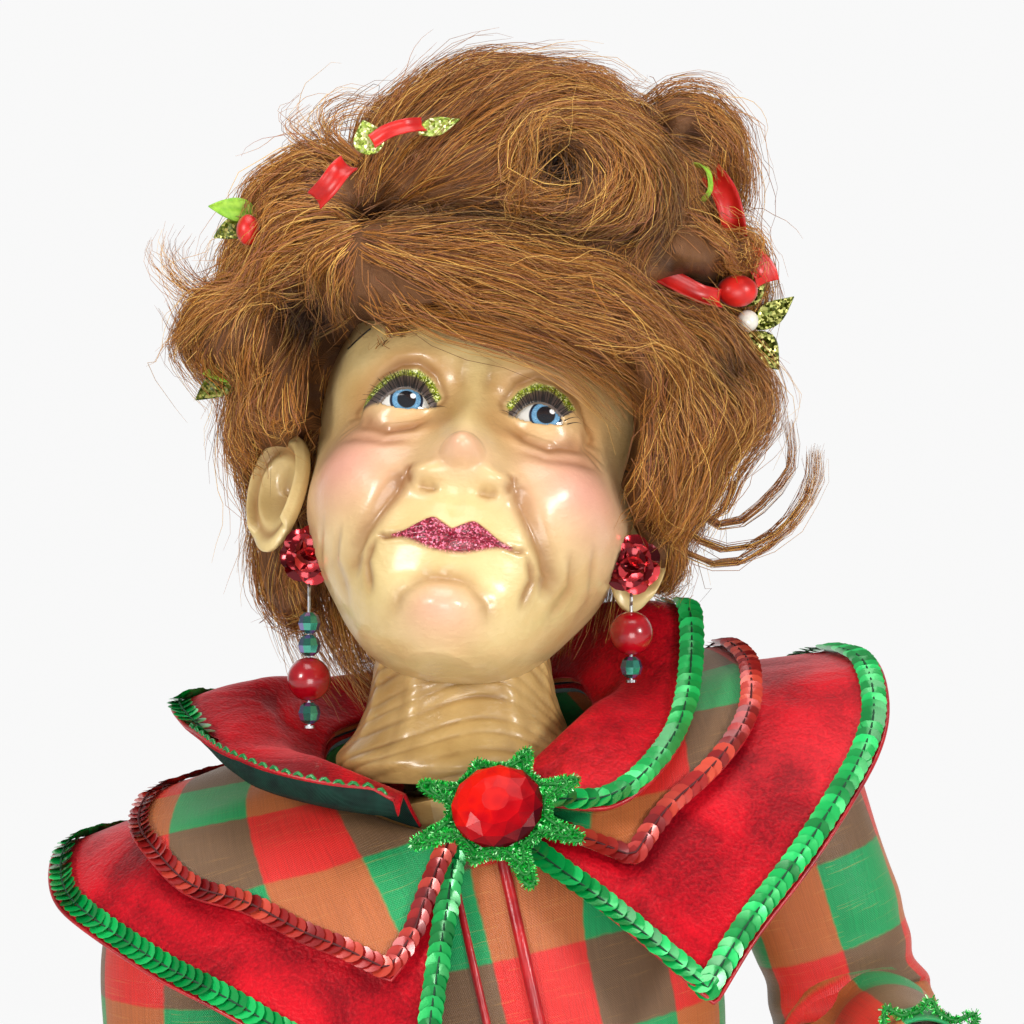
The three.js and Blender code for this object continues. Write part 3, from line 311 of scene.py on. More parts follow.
def velvet(name, deep, bright, sheen):
    """Short silky pile: soft lights painted into its colour where it is brushed (a painted sheen), a fine
    grain, and a sheen at its edges.
    """
    material, tree, shader = finish(name, Sheen_Weight=0.35, Sheen_Roughness=0.35, Sheen_Tint=sheen,
                                    Specular_IOR_Level=0.8, Specular_Tint=sheen)
    brushed = noise(tree, 46.0, 5.0, Distortion=0.6)
    pile = noise(tree, 1100.0, 2.0)
    # The brushed patches paint the colour lighter, a painted sheen; the fine pile adds a little real grain.
    light = calc(tree, "ADD", calc(tree, "MULTIPLY", brushed, 0.72), calc(tree, "MULTIPLY", pile, 0.3))
    coloured(tree, shader, light, (0.38, deep), (0.62, bright))
    wire(tree, ramp(tree, light, (0.3, 0.5), (0.7, 0.34)), shader.inputs["Roughness"])
    nap = bumped(tree, brushed, 2.0)
    grain = add(tree, "ShaderNodeBump", Height=pile, Distance=0.22 * MM, Normal=nap)
    wire(tree, grain, shader.inputs["Normal"])
    return material


red_velvet = velvet("Red velvet", paint(112, 3, 16), paint(196, 16, 32), paint(255, 96, 100))


def flat_mesh(source):
    """The evaluated result of an object's modifiers as a plain mesh."""
    graph = bpy.context.evaluated_depsgraph_get()
    return bpy.data.meshes.new_from_object(source.evaluated_get(graph), depsgraph=graph)


def settle(piece):
    """Replace a piece's mesh by its evaluated result and remove its modifiers."""
    made = flat_mesh(piece)
    piece.modifiers.clear()
    old = piece.data
    piece.data = made
    bpy.data.meshes.remove(old)


def points_of(mesh):
    flat = np.empty(len(mesh.vertices) * 3, np.float32)
    mesh.vertices.foreach_get("co", flat)
    return flat.reshape(-1, 3)


def sewn_skin(name, node, material, voxel=SKIN_VOXEL, tuck=SKIN_TUCK):
    """A smooth copy of a stuffed node's outside, drawn in by the tuck before it is filled."""
    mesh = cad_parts[node].data.copy()
    mesh.name = name
    welded(mesh, 1e-5)
    mesh.materials.clear()
    mesh.materials.append(material)
    skin = placed(name, mesh)
    remesh = skin.modifiers.new("Skin", "REMESH")
    remesh.mode = "VOXEL"
    remesh.voxel_size = voxel * MM
    smooth = skin.modifiers.new("Ease", "SMOOTH")
    smooth.factor = 0.5
    smooth.iterations = 4
    tucked = skin.modifiers.new("Tuck", "DISPLACE")
    tucked.mid_level = 0.0
    tucked.strength = -tuck * MM
    settle(skin)
    skin.data.shade_smooth()
    return skin


def fill(skins, most):
    """Press sewn skins outwards with one cloth simulation; no point moves further than most."""
    scene = bpy.context.scene
    rest = {}
    for skin in skins:
        rest[skin.name] = points_of(skin.data)
        cloth = skin.modifiers.new("Cloth", "CLOTH")
        cloth.settings.use_pressure = True
        cloth.settings.uniform_pressure_force = FILL_PRESSURE
        cloth.settings.effector_weights.gravity = 0.0
        cloth.settings.tension_stiffness = 25
        cloth.settings.bending_stiffness = 2
        cloth.collision_settings.use_collision = False
        cloth.point_cache.frame_end = FILL_FRAMES
    for number in range(1, FILL_FRAMES + 1):
        scene.frame_set(number)
    for skin in skins:
        filled = points_of(flat_mesh(skin))
        skin.modifiers.clear()
        step = filled - rest[skin.name]
        reach = np.linalg.norm(step, axis=1, keepdims=True)
        step *= np.minimum(1.0, most * MM / np.maximum(reach, 1e-9))
        skin.data.vertices.foreach_set("co", (rest[skin.name] + step).astype(np.float32).ravel())
        skin.data.update()
    scene.frame_set(1)


# Each stuffed node, the body that it rides on, its piece's name, its cover, and a voxel and tuck of its own
STUFFED = []
for side in ("left", "right"):
    STUFFED += [
        (f"leg_{side}", "figure", f"stuffed_leg_{side}", muslin),
        (f"boot_{side}", "figure", f"velvet_boot_{side}", red_velvet, 2.5, 0.5),
        (f"upper_arm_{side}", f"{side}_upper_arm", f"stuffed_arm_{side}", muslin),
        (f"forearm_{side}", f"{side}_forearm", f"stuffed_forearm_{side}", muslin),
        (f"glove_{side}", f"{side}_hand", f"velvet_glove_{side}", red_velvet, 1.6, 0.7),
    ]
STUFFED += [
    ("pelvis_stuffing", "figure", "stuffed_hips", muslin),
    ("torso_stuffing", "figure", "stuffed_torso", muslin),
]
skins = [sewn_skin(name, node, *cover) for node, body, name, *cover in STUFFED]
fill(skins, FILL_REACH)
for skin, row in zip(skins, STUFFED):
    node, body = row[:2]
    put(skin, body, "velvet" if "velvet" in skin.name else "muslin", node)
refinish(steel, "arm_wire_left", "arm_wire_right", "forearm_wire_left", "forearm_wire_right")


# The skirt is four widths of check taffeta, gathered into the waist seam and hung over the hips.
# A band of red velvet is sewn round its hem, and a row of round cup sequins along the band's top edge.
WAIST_HEIGHT = 316
WAIST_X = 9
WAIST_HALF = np.array([46, 36])
HEM_HALF = np.array([122, 104])
HEM_HEIGHT = 6
HEM_BAND = 34
SKIRT_SPREAD = [[0, 0], [0.12, 0.24], [0.3, 0.44], [0.55, 0.66], [0.8, 0.86], [1, 1]]
FOLDS = 11
FOLD_DEPTH = 7
GATHERS = 66
GATHER_DEPTH = 0.8
CHECK_SQUARE = 24.5
SQUARES_ROUND_SKIRT = 26
DRESS_CLOTH = 0.7
SKIRT_SIDES = 264
SKIRT_ROWS = 64
BAND_ROWS = 9
SEQUIN_SIDES = 12


def through(rows, at):
    """Smooth values at places between the rows of a table; a row is a place and its values."""
    rows = np.asarray(rows, float)
    at = np.asarray(at, float)
    place, value = rows[:, 0], rows[:, 1:]
    slope = np.gradient(value, place, axis=0)
    k = np.clip(np.searchsorted(place, at, "right") - 1, 0, len(place) - 2)
    gap = (place[k + 1] - place[k])[..., None]
    t = np.clip((at - place[k])[..., None] / gap, 0, 1)
    start = (2 * t**3 - 3 * t**2 + 1) * value[k] + (t**3 - 2 * t**2 + t) * gap * slope[k]
    return start + (3 * t**2 - 2 * t**3) * value[k + 1] + (t**3 - t**2) * gap * slope[k + 1]


def check_group():
    """Check taffeta on the cloth UV map, one unit to a square: Color, and a Height for its threads."""
    group = bpy.data.node_groups.new("Check taffeta", "ShaderNodeTree")
    socket(group, "Color", "Color")
    socket(group, "Height", "Float")
    outside = add(group, "NodeGroupOutput")
    flat = add(group, "ShaderNodeUVMap", {"uv_map": "cloth"}).outputs[0]
    waver = add(group, "ShaderNodeTexNoise", Vector=flat, Scale=9.0, Detail=2.0)
    shift = vector(group, "SCALE", i0=waver.outputs[1], Scale=0.03)
    flat_wavy = vector(group, "ADD", i0=flat, i1=shift)
    axes = add(group, "ShaderNodeSeparateXYZ", i0=flat_wavy)
    sharp = ((0.485, 0.0), (0.515, 1.0))
    warp, weft = (ramp(group, calc(group, "PINGPONG", axes.outputs[k], 1.0), *sharp) for k in (0, 1))
    green = mixed(group, weft, paint(0, 150, 84), paint(112, 82, 56))
    red = mixed(group, weft, paint(182, 98, 48), paint(214, 32, 28))
    ground = mixed(group, warp, green, red)
    across = add(group, "ShaderNodeMapping", Vector=flat_wavy, Scale=(1.2, 46, 1))
    along = add(group, "ShaderNodeMapping", Vector=flat_wavy, Scale=(58, 1.6, 1))
    slub = add(group, "ShaderNodeTexNoise", Vector=across.outputs[0], Scale=1.0, Detail=2.0)
    thread = add(group, "ShaderNodeTexNoise", Vector=along.outputs[0], Scale=1.0, Detail=2.0)
    pale = mixed(group, ramp(group, slub.outputs[0], (0.6, 0.0), (0.85, 0.4)), ground, paint(222, 168, 96))
    deep = ramp(group, thread.outputs[0], (0.3, 0.8), (0.62, 1.0))
    wire(group, mixed(group, 1.0, pale, deep, "MULTIPLY"), outside.inputs["Color"])
    picks = add(group, "ShaderNodeSeparateXYZ", i0=flat)
    ribs = [calc(group, "SINE", calc(group, "MULTIPLY", picks.outputs[k], 2 * math.pi * count))
            for k, count in ((0, 40), (1, 34))]
    raised = calc(group, "MULTIPLY", slub.outputs[0], 2.5)
    height = calc(group, "ADD", calc(group, "MULTIPLY", ribs[0], ribs[1]), raised)
    wire(group, height, outside.inputs["Height"])
    return group


check_cloth = check_group()
taffeta, tree, shader = finish("Check taffeta", Roughness=0.42, Specular_IOR_Level=0.45, Sheen_Weight=0.25,
                               Sheen_Roughness=0.4, Sheen_Tint=paint(255, 210, 170))
squares = add(tree, "ShaderNodeGroup", {"node_tree": check_cloth})
wire(tree, squares.outputs["Color"], shader.inputs["Base Color"])
wire(tree, bumped(tree, squares.outputs["Height"], 0.05), shader.inputs["Normal"])


def skirt_point(angle, share, out=0.0):
    """A point of the skirt's outside: the folds deepen towards the hem and fine gathers leave the waist."""
    height = WAIST_HEIGHT - 0.3 - share * (WAIST_HEIGHT - 0.3 - HEM_HEIGHT)
    spread = through(SKIRT_SPREAD, share)[..., 0]
    half = WAIST_HALF[:, None, None] + spread * (HEM_HALF - WAIST_HALF)[:, None, None] + out
    fold = FOLD_DEPTH * spread**2 * np.sin(FOLDS * angle + 0.6 * np.sin(2 * angle)) / half[0]
    gather = np.exp(-share / 0.2) * np.minimum(share / 0.02, 1) * GATHER_DEPTH
    fold = fold + gather * np.sin(GATHERS * angle + 3 * np.sin(5 * angle)) / half[0]
    x = WAIST_X * (1 - spread) + half[0] * (1 + fold) * np.sin(angle)
    return np.stack([x, -half[1] * (1 + fold) * np.cos(angle), height], -1)


def grid_faces(rows, columns):
    first = np.arange((rows - 1) * columns).reshape(rows - 1, columns)[:, :-1].ravel()
    return np.stack([first, first + columns, first + columns + 1, first + 1], -1)


def seamed_tube(name, points, uv, material):
    """A tube of cloth from a grid whose last column repeats its first; the repeat is welded into a seam."""
    faces = grid_faces(*points.shape[:2])
    return make(name, points.reshape(-1, 3), faces, material, uv=uv.reshape(-1, 2), weld=True)


def thickened(piece, thickness, lining=0):
    """Give a cloth piece its thickness, laid inwards; lining is the material slot of its inner side."""
    solid = piece.modifiers.new("Cloth", "SOLIDIFY")
    solid.thickness = thickness * MM
    solid.offset = -1
    solid.material_offset = lining
    settle(piece)


def cloth_area(piece):
    return sum(face.area for face in piece.data.polygons)


def even_angles(columns):
    return np.linspace(0, 2 * np.pi, columns + 1)


share, angle = np.meshgrid(np.linspace(0, 1, SKIRT_ROWS), even_angles(SKIRT_SIDES), indexing="ij")
skirt_uv = np.stack([angle / (2 * np.pi) * SQUARES_ROUND_SKIRT,
                     share * (WAIST_HEIGHT - HEM_HEIGHT) / CHECK_SQUARE], -1)
skirt = seamed_tube("taffeta_skirt", skirt_point(angle, share), skirt_uv, taffeta)
thickened(skirt, DRESS_CLOTH)
put(skirt, "figure", "plaid", "skirt")

band_shares = 1 - HEM_BAND / (WAIST_HEIGHT - HEM_HEIGHT) * np.linspace(1, 0, BAND_ROWS)
share, angle = np.meshgrid(band_shares, even_angles(SKIRT_SIDES), indexing="ij")
puff = 1.2 + 0.6 * np.sin(np.pi * np.linspace(0, 1, BAND_ROWS))[:, None]
hem_band = seamed_tube("velvet_hem_band", skirt_point(angle, share, puff), skirt_uv[:BAND_ROWS], red_velvet)
thickened(hem_band, 0.6)
put(hem_band, "figure", "velvet", "hem_band")


def unit(vectors):
    return vectors / np.linalg.norm(vectors, axis=-1, keepdims=True)


def ways_along(path):
    """The direction of a path at each of its points."""
    return unit(np.gradient(path, axis=0))


def run_along(path):
    """The length of a path up to each of its points."""
    return np.concatenate([[0], np.cumsum(np.linalg.norm(np.diff(path, axis=0), axis=1))])


def spaced(path, step):
    """Points and directions at an even step along a path."""
    path = np.asarray(path, float)
    length = run_along(path)
    at = np.linspace(0, length[-1], max(2, int(round(length[-1] / step)) + 1))
    spots = np.stack([np.interp(at, length, path[:, k]) for k in range(3)], -1)
    return spots, ways_along(spots)


def sequin(radius, rim=0.24, fold=0.0, lean=0.0):
    """A round sequin with a hole and a raised rim, folded along its row and leaning on the next one."""
    angle = round_steps(SEQUIN_SIDES)
    points = []
    for r, h in ((0.16, 0.0), (0.6, 0.1 * rim), (1.0, rim)):
        rise = h + r * (fold * np.abs(np.sin(angle)) + lean * np.cos(angle))
        for a, z in zip(angle, rise):
            points.append((radius * r * math.cos(a), radius * r * math.sin(a), radius * z))
    return points, ring_faces(3, SEQUIN_SIDES)


def growth(name, **inputs):
    """A new Geometry Nodes tree with these inputs after its geometry, and its two end nodes."""
    tree = bpy.data.node_groups.new(name, "GeometryNodeTree")
    socket(tree, "Geometry", "Geometry", "INPUT")
    for label, kind in inputs.items():
        socket(tree, label, kind, "INPUT")
    socket(tree, "Geometry", "Geometry")
    return tree, add(tree, "NodeGroupInput"), add(tree, "NodeGroupOutput")


def sewn_row_tree():
    """Geometry Nodes: one shape on every point, turned to the point's out and along vectors."""
    tree, inside, outside = growth("Sewn row", Shape="Object", Finish="Material", Wobble="Float", Seed="Int")
    out, along = (
        add(tree, "GeometryNodeInputNamedAttribute", {"data_type": "FLOAT_VECTOR"}, Name=name).outputs[0]
        for name in ("out", "along")
    )
    facing = add(tree, "FunctionNodeAxesToRotation", {"primary_axis": "Z", "secondary_axis": "X"},
                 i0=out, i1=along)
    most = inside.outputs["Wobble"]
    least = calc(tree, "MULTIPLY", most, -1.0)
    lean = add(tree, "FunctionNodeRandomValue", {"data_type": "FLOAT_VECTOR"}, i0=least, i1=most,
               Seed=inside.outputs["Seed"])
    tilt = add(tree, "FunctionNodeEulerToRotation", i0=lean.outputs[0])
    turn = add(tree, "FunctionNodeRotateRotation", {"rotation_space": "LOCAL"}, i0=facing, i1=tilt)
    shape = add(tree, "GeometryNodeObjectInfo", i0=inside.outputs["Shape"])
    rows = add(tree, "GeometryNodeInstanceOnPoints", Points=inside.outputs[0],
               Instance=shape.outputs["Geometry"], Rotation=turn)
    shade = add(tree, "FunctionNodeRandomValue", {"data_type": "FLOAT"}, Seed=inside.outputs["Seed"])
    marked = add(tree, "GeometryNodeStoreNamedAttribute", {"data_type": "FLOAT", "domain": "INSTANCE"},
                 Geometry=rows, Name="tint", Value=shade.outputs[1])
    solid = add(tree, "GeometryNodeRealizeInstances", Geometry=marked)
    wire(tree, add(tree, "GeometryNodeSetMaterial", Geometry=solid, Material=inside.outputs["Finish"]),
         outside.inputs[0])
    return tree


sewn_row = sewn_row_tree()


def grown(name, tree, start, material, **inputs):
    """Run a Geometry Nodes tree on a start mesh object and keep its result as a plain mesh."""
    nodes = start.modifiers.new("Grow", "NODES")
    nodes.node_group = tree
    inputs["Finish"] = material
    for socket in tree.interface.items_tree:
        if socket.in_out == "INPUT" and socket.name in inputs:
            nodes[socket.identifier] = inputs[socket.name]
    start.name = name
    settle(start)
    start.data.name = name
    return start


def marked(mesh, kind="FLOAT", **marks):
    """Give a mesh values at its points, one number or vector for each, under the names given."""
    for name, values in marks.items():
        layer = mesh.attributes.new(name, kind, "POINT")
        flat = np.asarray(values, np.float32).ravel()
        layer.data.foreach_set("value" if kind == "FLOAT" else "vector", flat)


def mark(tree, name):
    return add(tree, "ShaderNodeAttribute", {"attribute_name": name}).outputs["Fac"]


def sew(name, spots, outs, alongs, shape, material, wobble=0.1, seed=1):
    """Sew a shape, given as points and faces in millimetres, at each spot."""
    start = make(f"{name} spots", spots, [])
    marked(start.data, "FLOAT_VECTOR", out=outs, along=alongs)
    pattern = make(f"{name} pattern", *shape)
    made = grown(name, sewn_row, start, material, Shape=pattern, Wobble=wobble, Seed=seed)
    bpy.data.objects.remove(pattern)
    return made


SEQUIN_GLOSS = {"Roughness": 0.3, "Coat_Weight": 0.5, "Coat_Roughness": 0.2}
red_sequin, tree, shader = finish("Red sequin", Metallic=0.2, **SEQUIN_GLOSS)
coloured(tree, shader, mark(tree, "tint"), (0.0, paint(116, 14, 18)), (0.5, paint(168, 34, 32)),
         (1.0, paint(212, 78, 58)))

TILE = sequin(3.1, 0.05, 0.16, 0.22)
ring = skirt_point(even_angles(720)[:, None], np.full((721, 1), band_shares[0]), 2.4)[:, 0]
spots, ways = spaced(ring, 3.0)
outs = np.cross(ways, np.array([0, 0, 1.0])) + np.array([0, 0, 0.25])
outs *= np.sign(np.sum(outs * (spots - [0, 0, 40]) * [1, 1, 0], axis=1, keepdims=True))
hem_sequins = sew("hem_sequins", spots, outs, ways, TILE, red_sequin)
put(hem_sequins, "figure", "foil")


# The bodice is a fitted shell of the same taffeta over the stuffed torso, sewn to the skirt at a level waist.
# Two cords of satin piping edge its front placket, and a velvet waistband covers the waist seam.
CHEST_LEAN = math.radians(13)
CHEST_PIVOT = (8, 320)
NECK_BASE = 135
NECK_Y = 4
NECKLINE_RADIUS = 38.5
NECKLINE = [[0, -12], [20, -9], [40, -3], [60, 4], [80, 9], [95, 12], [112, 18], [135, 20], [180, 20]]
BODICE_FORM = [[28, 48, 40, 0], [58, 54, 45, 0], [84, 56, 44, 0], [104, 64, 38, 0]]
BODICE_LADDER = [0, 0.26, 0.5, 0.68, 0.84, 1]
BODICE_SIDES = 160
BODICE_ROWS = 48
SQUARES_ROUND_BODICE = 14
BELT_HALF = (50.6, 40.4)
BELT_HEIGHT = 18


def chest(points):
    """Points of the leaning chest, measured from its pivot in the waist, as points of the doll."""
    points = np.asarray(points, float)
    x, y, z = points[..., 0], points[..., 1], points[..., 2]
    cosine, sine = math.cos(CHEST_LEAN), math.sin(CHEST_LEAN)
    return np.stack([CHEST_PIVOT[0] + x * cosine - z * sine, y, CHEST_PIVOT[1] + x * sine + z * cosine], -1)


def neckline(degrees):
    """Height of the neckline on the chest, by degrees from the front."""
    away = np.abs((np.asarray(degrees, float) + 180) % 360 - 180)
    return NECK_BASE + through(NECKLINE, away)[..., 0]


angle = even_angles(BODICE_SIDES)
waist = WAIST_HEIGHT + 0.3 - CHEST_PIVOT[1]
seam_z = (waist - WAIST_HALF[0] * np.sin(angle) * math.sin(CHEST_LEAN)) / math.cos(CHEST_LEAN)
top_z = neckline(np.degrees(angle)) - 10.4
levels = np.linspace(0, 1, BODICE_ROWS)
forms = [[*WAIST_HALF, 0]] + [form[1:] for form in BODICE_FORM] + [[NECKLINE_RADIUS, NECKLINE_RADIUS, NECK_Y]]
width, depth, middle = through(np.column_stack([BODICE_LADDER, forms]), levels).T[:, :, None]
heights = [seam_z] + [np.full_like(angle, form[0]) for form in BODICE_FORM] + [top_z]
height = through(np.column_stack([BODICE_LADDER, heights]), levels)
bodice_grid = np.stack([width * np.sin(angle), middle - depth * np.cos(angle), height], -1)
squares_round = angle / (2 * np.pi) * SQUARES_ROUND_BODICE + 0.62
bodice_uv = np.stack(np.broadcast_arrays(squares_round, height / CHECK_SQUARE + 0.1), -1)
bodice = seamed_tube("taffeta_bodice", chest(bodice_grid), bodice_uv, taffeta)
thickened(bodice, DRESS_CLOTH)
put(bodice, "figure", "plaid", "bodice")


def cord_along(name, path, radius, material, sides=10, upright=(0, -1, 0)):
    """A round cord swept along a path; the upright direction is never along the path."""
    path = np.asarray(path, float)
    ways = ways_along(path)
    side = unit(np.cross(ways, np.asarray(upright, float)))
    up = np.cross(side, ways)
    turn = round_steps(sides)
    ring = side[:, None] * np.cos(turn)[None, :, None] + up[:, None] * np.sin(turn)[None, :, None]
    points = (path[:, None] + radius * ring).reshape(-1, 3)
    return make(name, points, outward(points, capped_faces(len(path), sides)), material)


satin, tree, shader = finish("Red satin", Roughness=0.33, Specular_IOR_Level=0.55, Sheen_Weight=0.15,
                             Sheen_Roughness=0.3, Sheen_Tint=paint(255, 150, 140))
fall = noise(tree, 120.0, 3.0)
coloured(tree, shader, fall, (0.3, paint(132, 10, 22)), (0.7, paint(190, 26, 32)))
twill = noise(tree, 1.0, 1.0, (2200, 2200, 260))
wire(tree, bumped(tree, twill, 0.08), shader.inputs["Normal"])


def on_front(x, rise):
    """A path up the front of the bodice at x, standing off the cloth by the rise."""
    heights = np.linspace(14, 112, 40)
    foot, top = [-3, *WAIST_HALF, 0], [122, 42, NECKLINE_RADIUS, 3]
    width, depth, middle = through([foot] + BODICE_FORM + [top], heights).T
    y = middle - (depth + rise) * np.sqrt(1 - (x / (width + rise)) ** 2)
    return chest(np.stack([np.full_like(heights, x), y, heights], -1))


front_piping = cord_along("front_piping_cord", on_front(5, 1.1), 1.6, satin)
put(front_piping, "figure", "piping", "front_piping")
placket = cord_along("placket_cord", on_front(-8.5, 0.6), 1.1, satin)
put(placket, "figure", "piping")

belt_rows = np.linspace(0, 1, 11)
height = WAIST_HEIGHT - 2.7 + BELT_HEIGHT * belt_rows[:, None] + 0 * angle
swell = 0.9 * np.sin(np.pi * belt_rows)[:, None] - 0.5 + 0.25 * np.sin(24 * angle + 9 * belt_rows[:, None])
belt = np.stack([
    WAIST_X - (height - WAIST_HEIGHT) * math.tan(CHEST_LEAN) + (BELT_HALF[0] + swell) * np.sin(angle),
    -(BELT_HALF[1] + swell) * np.cos(angle),
    height,
], -1)
waistband = seamed_tube("velvet_waistband", belt, np.zeros(belt.shape[:2] + (2,)), red_velvet)
thickened(waistband, 0.8)
put(waistband, "figure", "velvet", "waistband")


# Two shoulder capes are sewn into the neckline, one over the other and open at the front: red velvet below,
# check above. Each is cut as part of a ring, lined, edged with a satin cord and trimmed with sewn sequins.
# A hem is given by degrees from the front, its radius, and for the lower cape its height over the neck's base
LOWER_HEM = [
    [39, 80, -73], [53, 88, -57], [68, 103, -36], [82, 114, -15], [95, 116, -1], [110, 112, 2],
    [130, 102, -8], [155, 92, -22], [180, 90, -26], [205, 92, -22], [230, 102, -8], [250, 113, -1],
    [265, 117, -5], [276, 115, -15], [290, 100, -33], [305, 88, -52], [320, 80, -68], [338, 73, -80],
]
MIDDLE_REACH = [
    [40, 62], [53, 67], [68, 78], [88, 83], [110, 84], [140, 78], [180, 74], [220, 78], [250, 86], [270, 92],
    [285, 87], [300, 76], [318, 68], [332, 64],
]
NECK_EDGES = (8, 354)
CAPE_SPREAD = 0.54
CAPE_CLOTH = 1.0
CAPE_COLUMNS = 200
CAPE_ROWS = 44
TRIM_STEP = 2.9
TRIM_RISE = 0.7
CHEST_MIDDLE = Vector((-22, 4, 380))


def cape_height(degrees, radius):
    """Height of the lower cape on the chest: it domes over the shoulders and falls at the front."""
    away = np.abs((degrees + 180) % 360 - 180)
    hem = through(LOWER_HEM, degrees)
    ring = neckline(degrees) - 8
    share = np.clip((radius - NECKLINE_RADIUS) / (hem[..., 0] - NECKLINE_RADIUS), 0, 1.2)
    return ring + (NECK_BASE + hem[..., 1] - ring) * share ** (1.15 + 0.45 * np.minimum(away / 90, 1))


def cape_points(hem, rise, lift):
    """The upper side of a cape as a grid from neckline to hem, with its degrees and radii."""
    out = np.linspace(0, 1, CAPE_ROWS)[:, None]
    first = NECK_EDGES[0] + (hem[0][0] - NECK_EDGES[0]) * out
    last = NECK_EDGES[1] + (hem[-1][0] - NECK_EDGES[1]) * out
    degrees = first + (last - first) * np.linspace(0, 1, CAPE_COLUMNS)
    radius = NECKLINE_RADIUS + (through(hem, degrees)[..., 0] - NECKLINE_RADIUS) * out
    turn = np.radians(degrees)
    sway = 1.1 * out**2 * np.sin(turn * 7 + 1.0) + 0.5 * out * np.sin(turn * 17)
    height = cape_height(degrees, radius) + rise + lift * np.sqrt(out) + sway
    points = np.stack([radius * np.sin(turn), NECK_Y - radius * np.cos(turn), height], -1)
    return chest(points), degrees, radius


def cape(name, hem, rise, lift, material):
    """A lined cape, its cloth's area, its grid of points and the path round its free edges."""
    points, degrees, radius = cape_points(hem, rise, lift)
    turn = np.radians(CAPE_SPREAD * (130 + np.abs(degrees - 180)))
    reach = radius / CAPE_SPREAD / CHECK_SQUARE
    along, across = reach * np.sin(turn), reach * np.cos(turn)
    uv = np.stack([5.14 - 0.63 * along + 0.11 * across, 0.94 - 0.4 * along - 1.07 * across], -1)
    faces = grid_faces(CAPE_ROWS, CAPE_COLUMNS)
    made = make(name, points.reshape(-1, 3), faces, material, lining, uv=uv.reshape(-1, 2))
    area = cloth_area(made)
    thickened(made, CAPE_CLOTH, lining=1)
    edge = np.concatenate([points[:, 0], points[-1, 1:-1], points[::-1, -1]])
    return made, area, points, edge


def inset_edge(points, inset):
    """The path down one front edge, along the hem and up the other, this far in from the cape's edge."""
    rows, columns = points.shape[:2]
    down = np.linalg.norm(points[-1, columns // 2] - points[0, columns // 2]) / (rows - 1)
    k = max(1, int(round(inset / down)))
    width = np.linalg.norm(points[-1, columns // 4] - points[-1, columns // 4 - 1])
    j = max(1, int(round(inset / width)))
    return np.concatenate([points[2:-k, j], points[-1 - k, j + 1:-j - 1], points[-k - 1:1:-1, -1 - j]])


def laid_on(piece, path, step, rise):
    """Even spots on a piece's outside near a path, with the piece's out vectors and the path's ways."""
    surface = BVHTree.FromPolygons([v.co / MM for v in piece.data.vertices],
                                   [f.vertices for f in piece.data.polygons])
    spots, ways = spaced(path, step)
    outs = []
    for k, spot in enumerate(spots):
        place, normal = surface.find_nearest(Vector(spot))[:2]
        normal = normal if normal.dot(Vector(spot) - CHEST_MIDDLE) > 0 else -normal
        spots[k] = place + normal * rise
        outs.append(normal)
    return spots, np.array(outs), ways


lining, tree, shader = finish("Green lining", Roughness=0.7, Specular_IOR_Level=0.2)
cloth = woven(tree, 0.5)
coloured(tree, shader, cloth.outputs["Thread"], (0.3, paint(8, 30, 26)), (0.7, paint(14, 52, 42)))
wire(tree, bumped(tree, cloth.outputs["Height"], 0.05), shader.inputs["Normal"])

lower_cape, lower_area, lower_points, lower_edge = cape("velvet_cape", LOWER_HEM, 0, 0, red_velvet)
put(lower_cape, "figure", "velvet", "lower_cape")
middle_cape, middle_area, middle_points, middle_edge = cape("taffeta_cape", MIDDLE_REACH, 1.6, 3, taffeta)
put(middle_cape, "figure", "plaid", "middle_cape")

green_sequin, tree, shader = finish("Green sequin", Metallic=0.25, **SEQUIN_GLOSS)
coloured(tree, shader, mark(tree, "tint"), (0.0, paint(0, 118, 50)), (0.6, paint(0, 164, 74)),
         (1.0, paint(30, 206, 104)))

red_thread, tree, shader = finish("Dark red thread", Base_Color=paint(74, 12, 16), Roughness=0.7)
green_thread, tree, shader = finish("Dark green thread", Base_Color=paint(2, 58, 32), Roughness=0.7)
BRAID = sequin(3.5, 0.05, 0.2, 0.22)


def trimmed(name, piece, path, shape, material, thread, seed):
    """A row of sequins sewn on a cloth piece along a path, and the thread that runs over their middles."""
    spots, outs, ways = laid_on(piece, path, TRIM_STEP, TRIM_RISE)
    row = sew(name, spots, outs, ways, shape, material, 0.1, seed)
    stitch = cord_along(f"{name}_thread", spots + 0.55 * outs, 0.3, thread, 5)
    return row, stitch


lower_trim, lower_thread = trimmed(
    "velvet_cape_braid", lower_cape, inset_edge(lower_points, 2.6), BRAID, green_sequin, green_thread, 2)
middle_trim, middle_thread = trimmed(
    "taffeta_cape_sequins", middle_cape, inset_edge(middle_points, 2.2), TILE, red_sequin, red_thread, 3)
lower_cord = cord_along("velvet_cape_cord", spaced(lower_edge, 2.0)[0], 0.6, satin, 8)
middle_cord = cord_along("taffeta_cape_cord", spaced(middle_edge, 2.0)[0], 0.5, satin, 8)
put(lower_trim, "figure", "glitter")
put(middle_trim, "figure", "foil")
for cord in (lower_thread, middle_thread, lower_cord, middle_cord):
    put(cord, "figure", "piping")


# The collar is cut from red velvet with a green lining, sewn into the neckline over the capes.
# It stands up to a soft fold and rolls outwards; green sequins and a satin cord follow its free edge.
FOLD_LINE = [
    [13, -36, -7], [36, -19, 5], [47, 4, 9.2], [51, 17, 22.6], [49, 28, 30], [30, 45, 27], [0, 51, 25],
    [-30, 45, 27], [-50, 27, 31], [-50, 14, 23], [-46, 0, 13], [-36, -18, 8], [-16, -36, -5],
]
FREE_EDGE = [
    [15, -42, -13], [36, -46, -18], [56, -28, -8], [67, 4, 11], [69, 22, 25], [44, 54, 19], [0, 62, 15],
    [-44, 54, 20], [-73, 20, 31], [-68, -4, 22], [-56, -28, 8], [-36, -42, -2], [-19, -43, -8],
]
COLLAR_SEAM_RADIUS = 37.3
COLLAR_CLOTH = 1.2
COLLAR_COLUMNS = 180
COLLAR_ROWS = 31


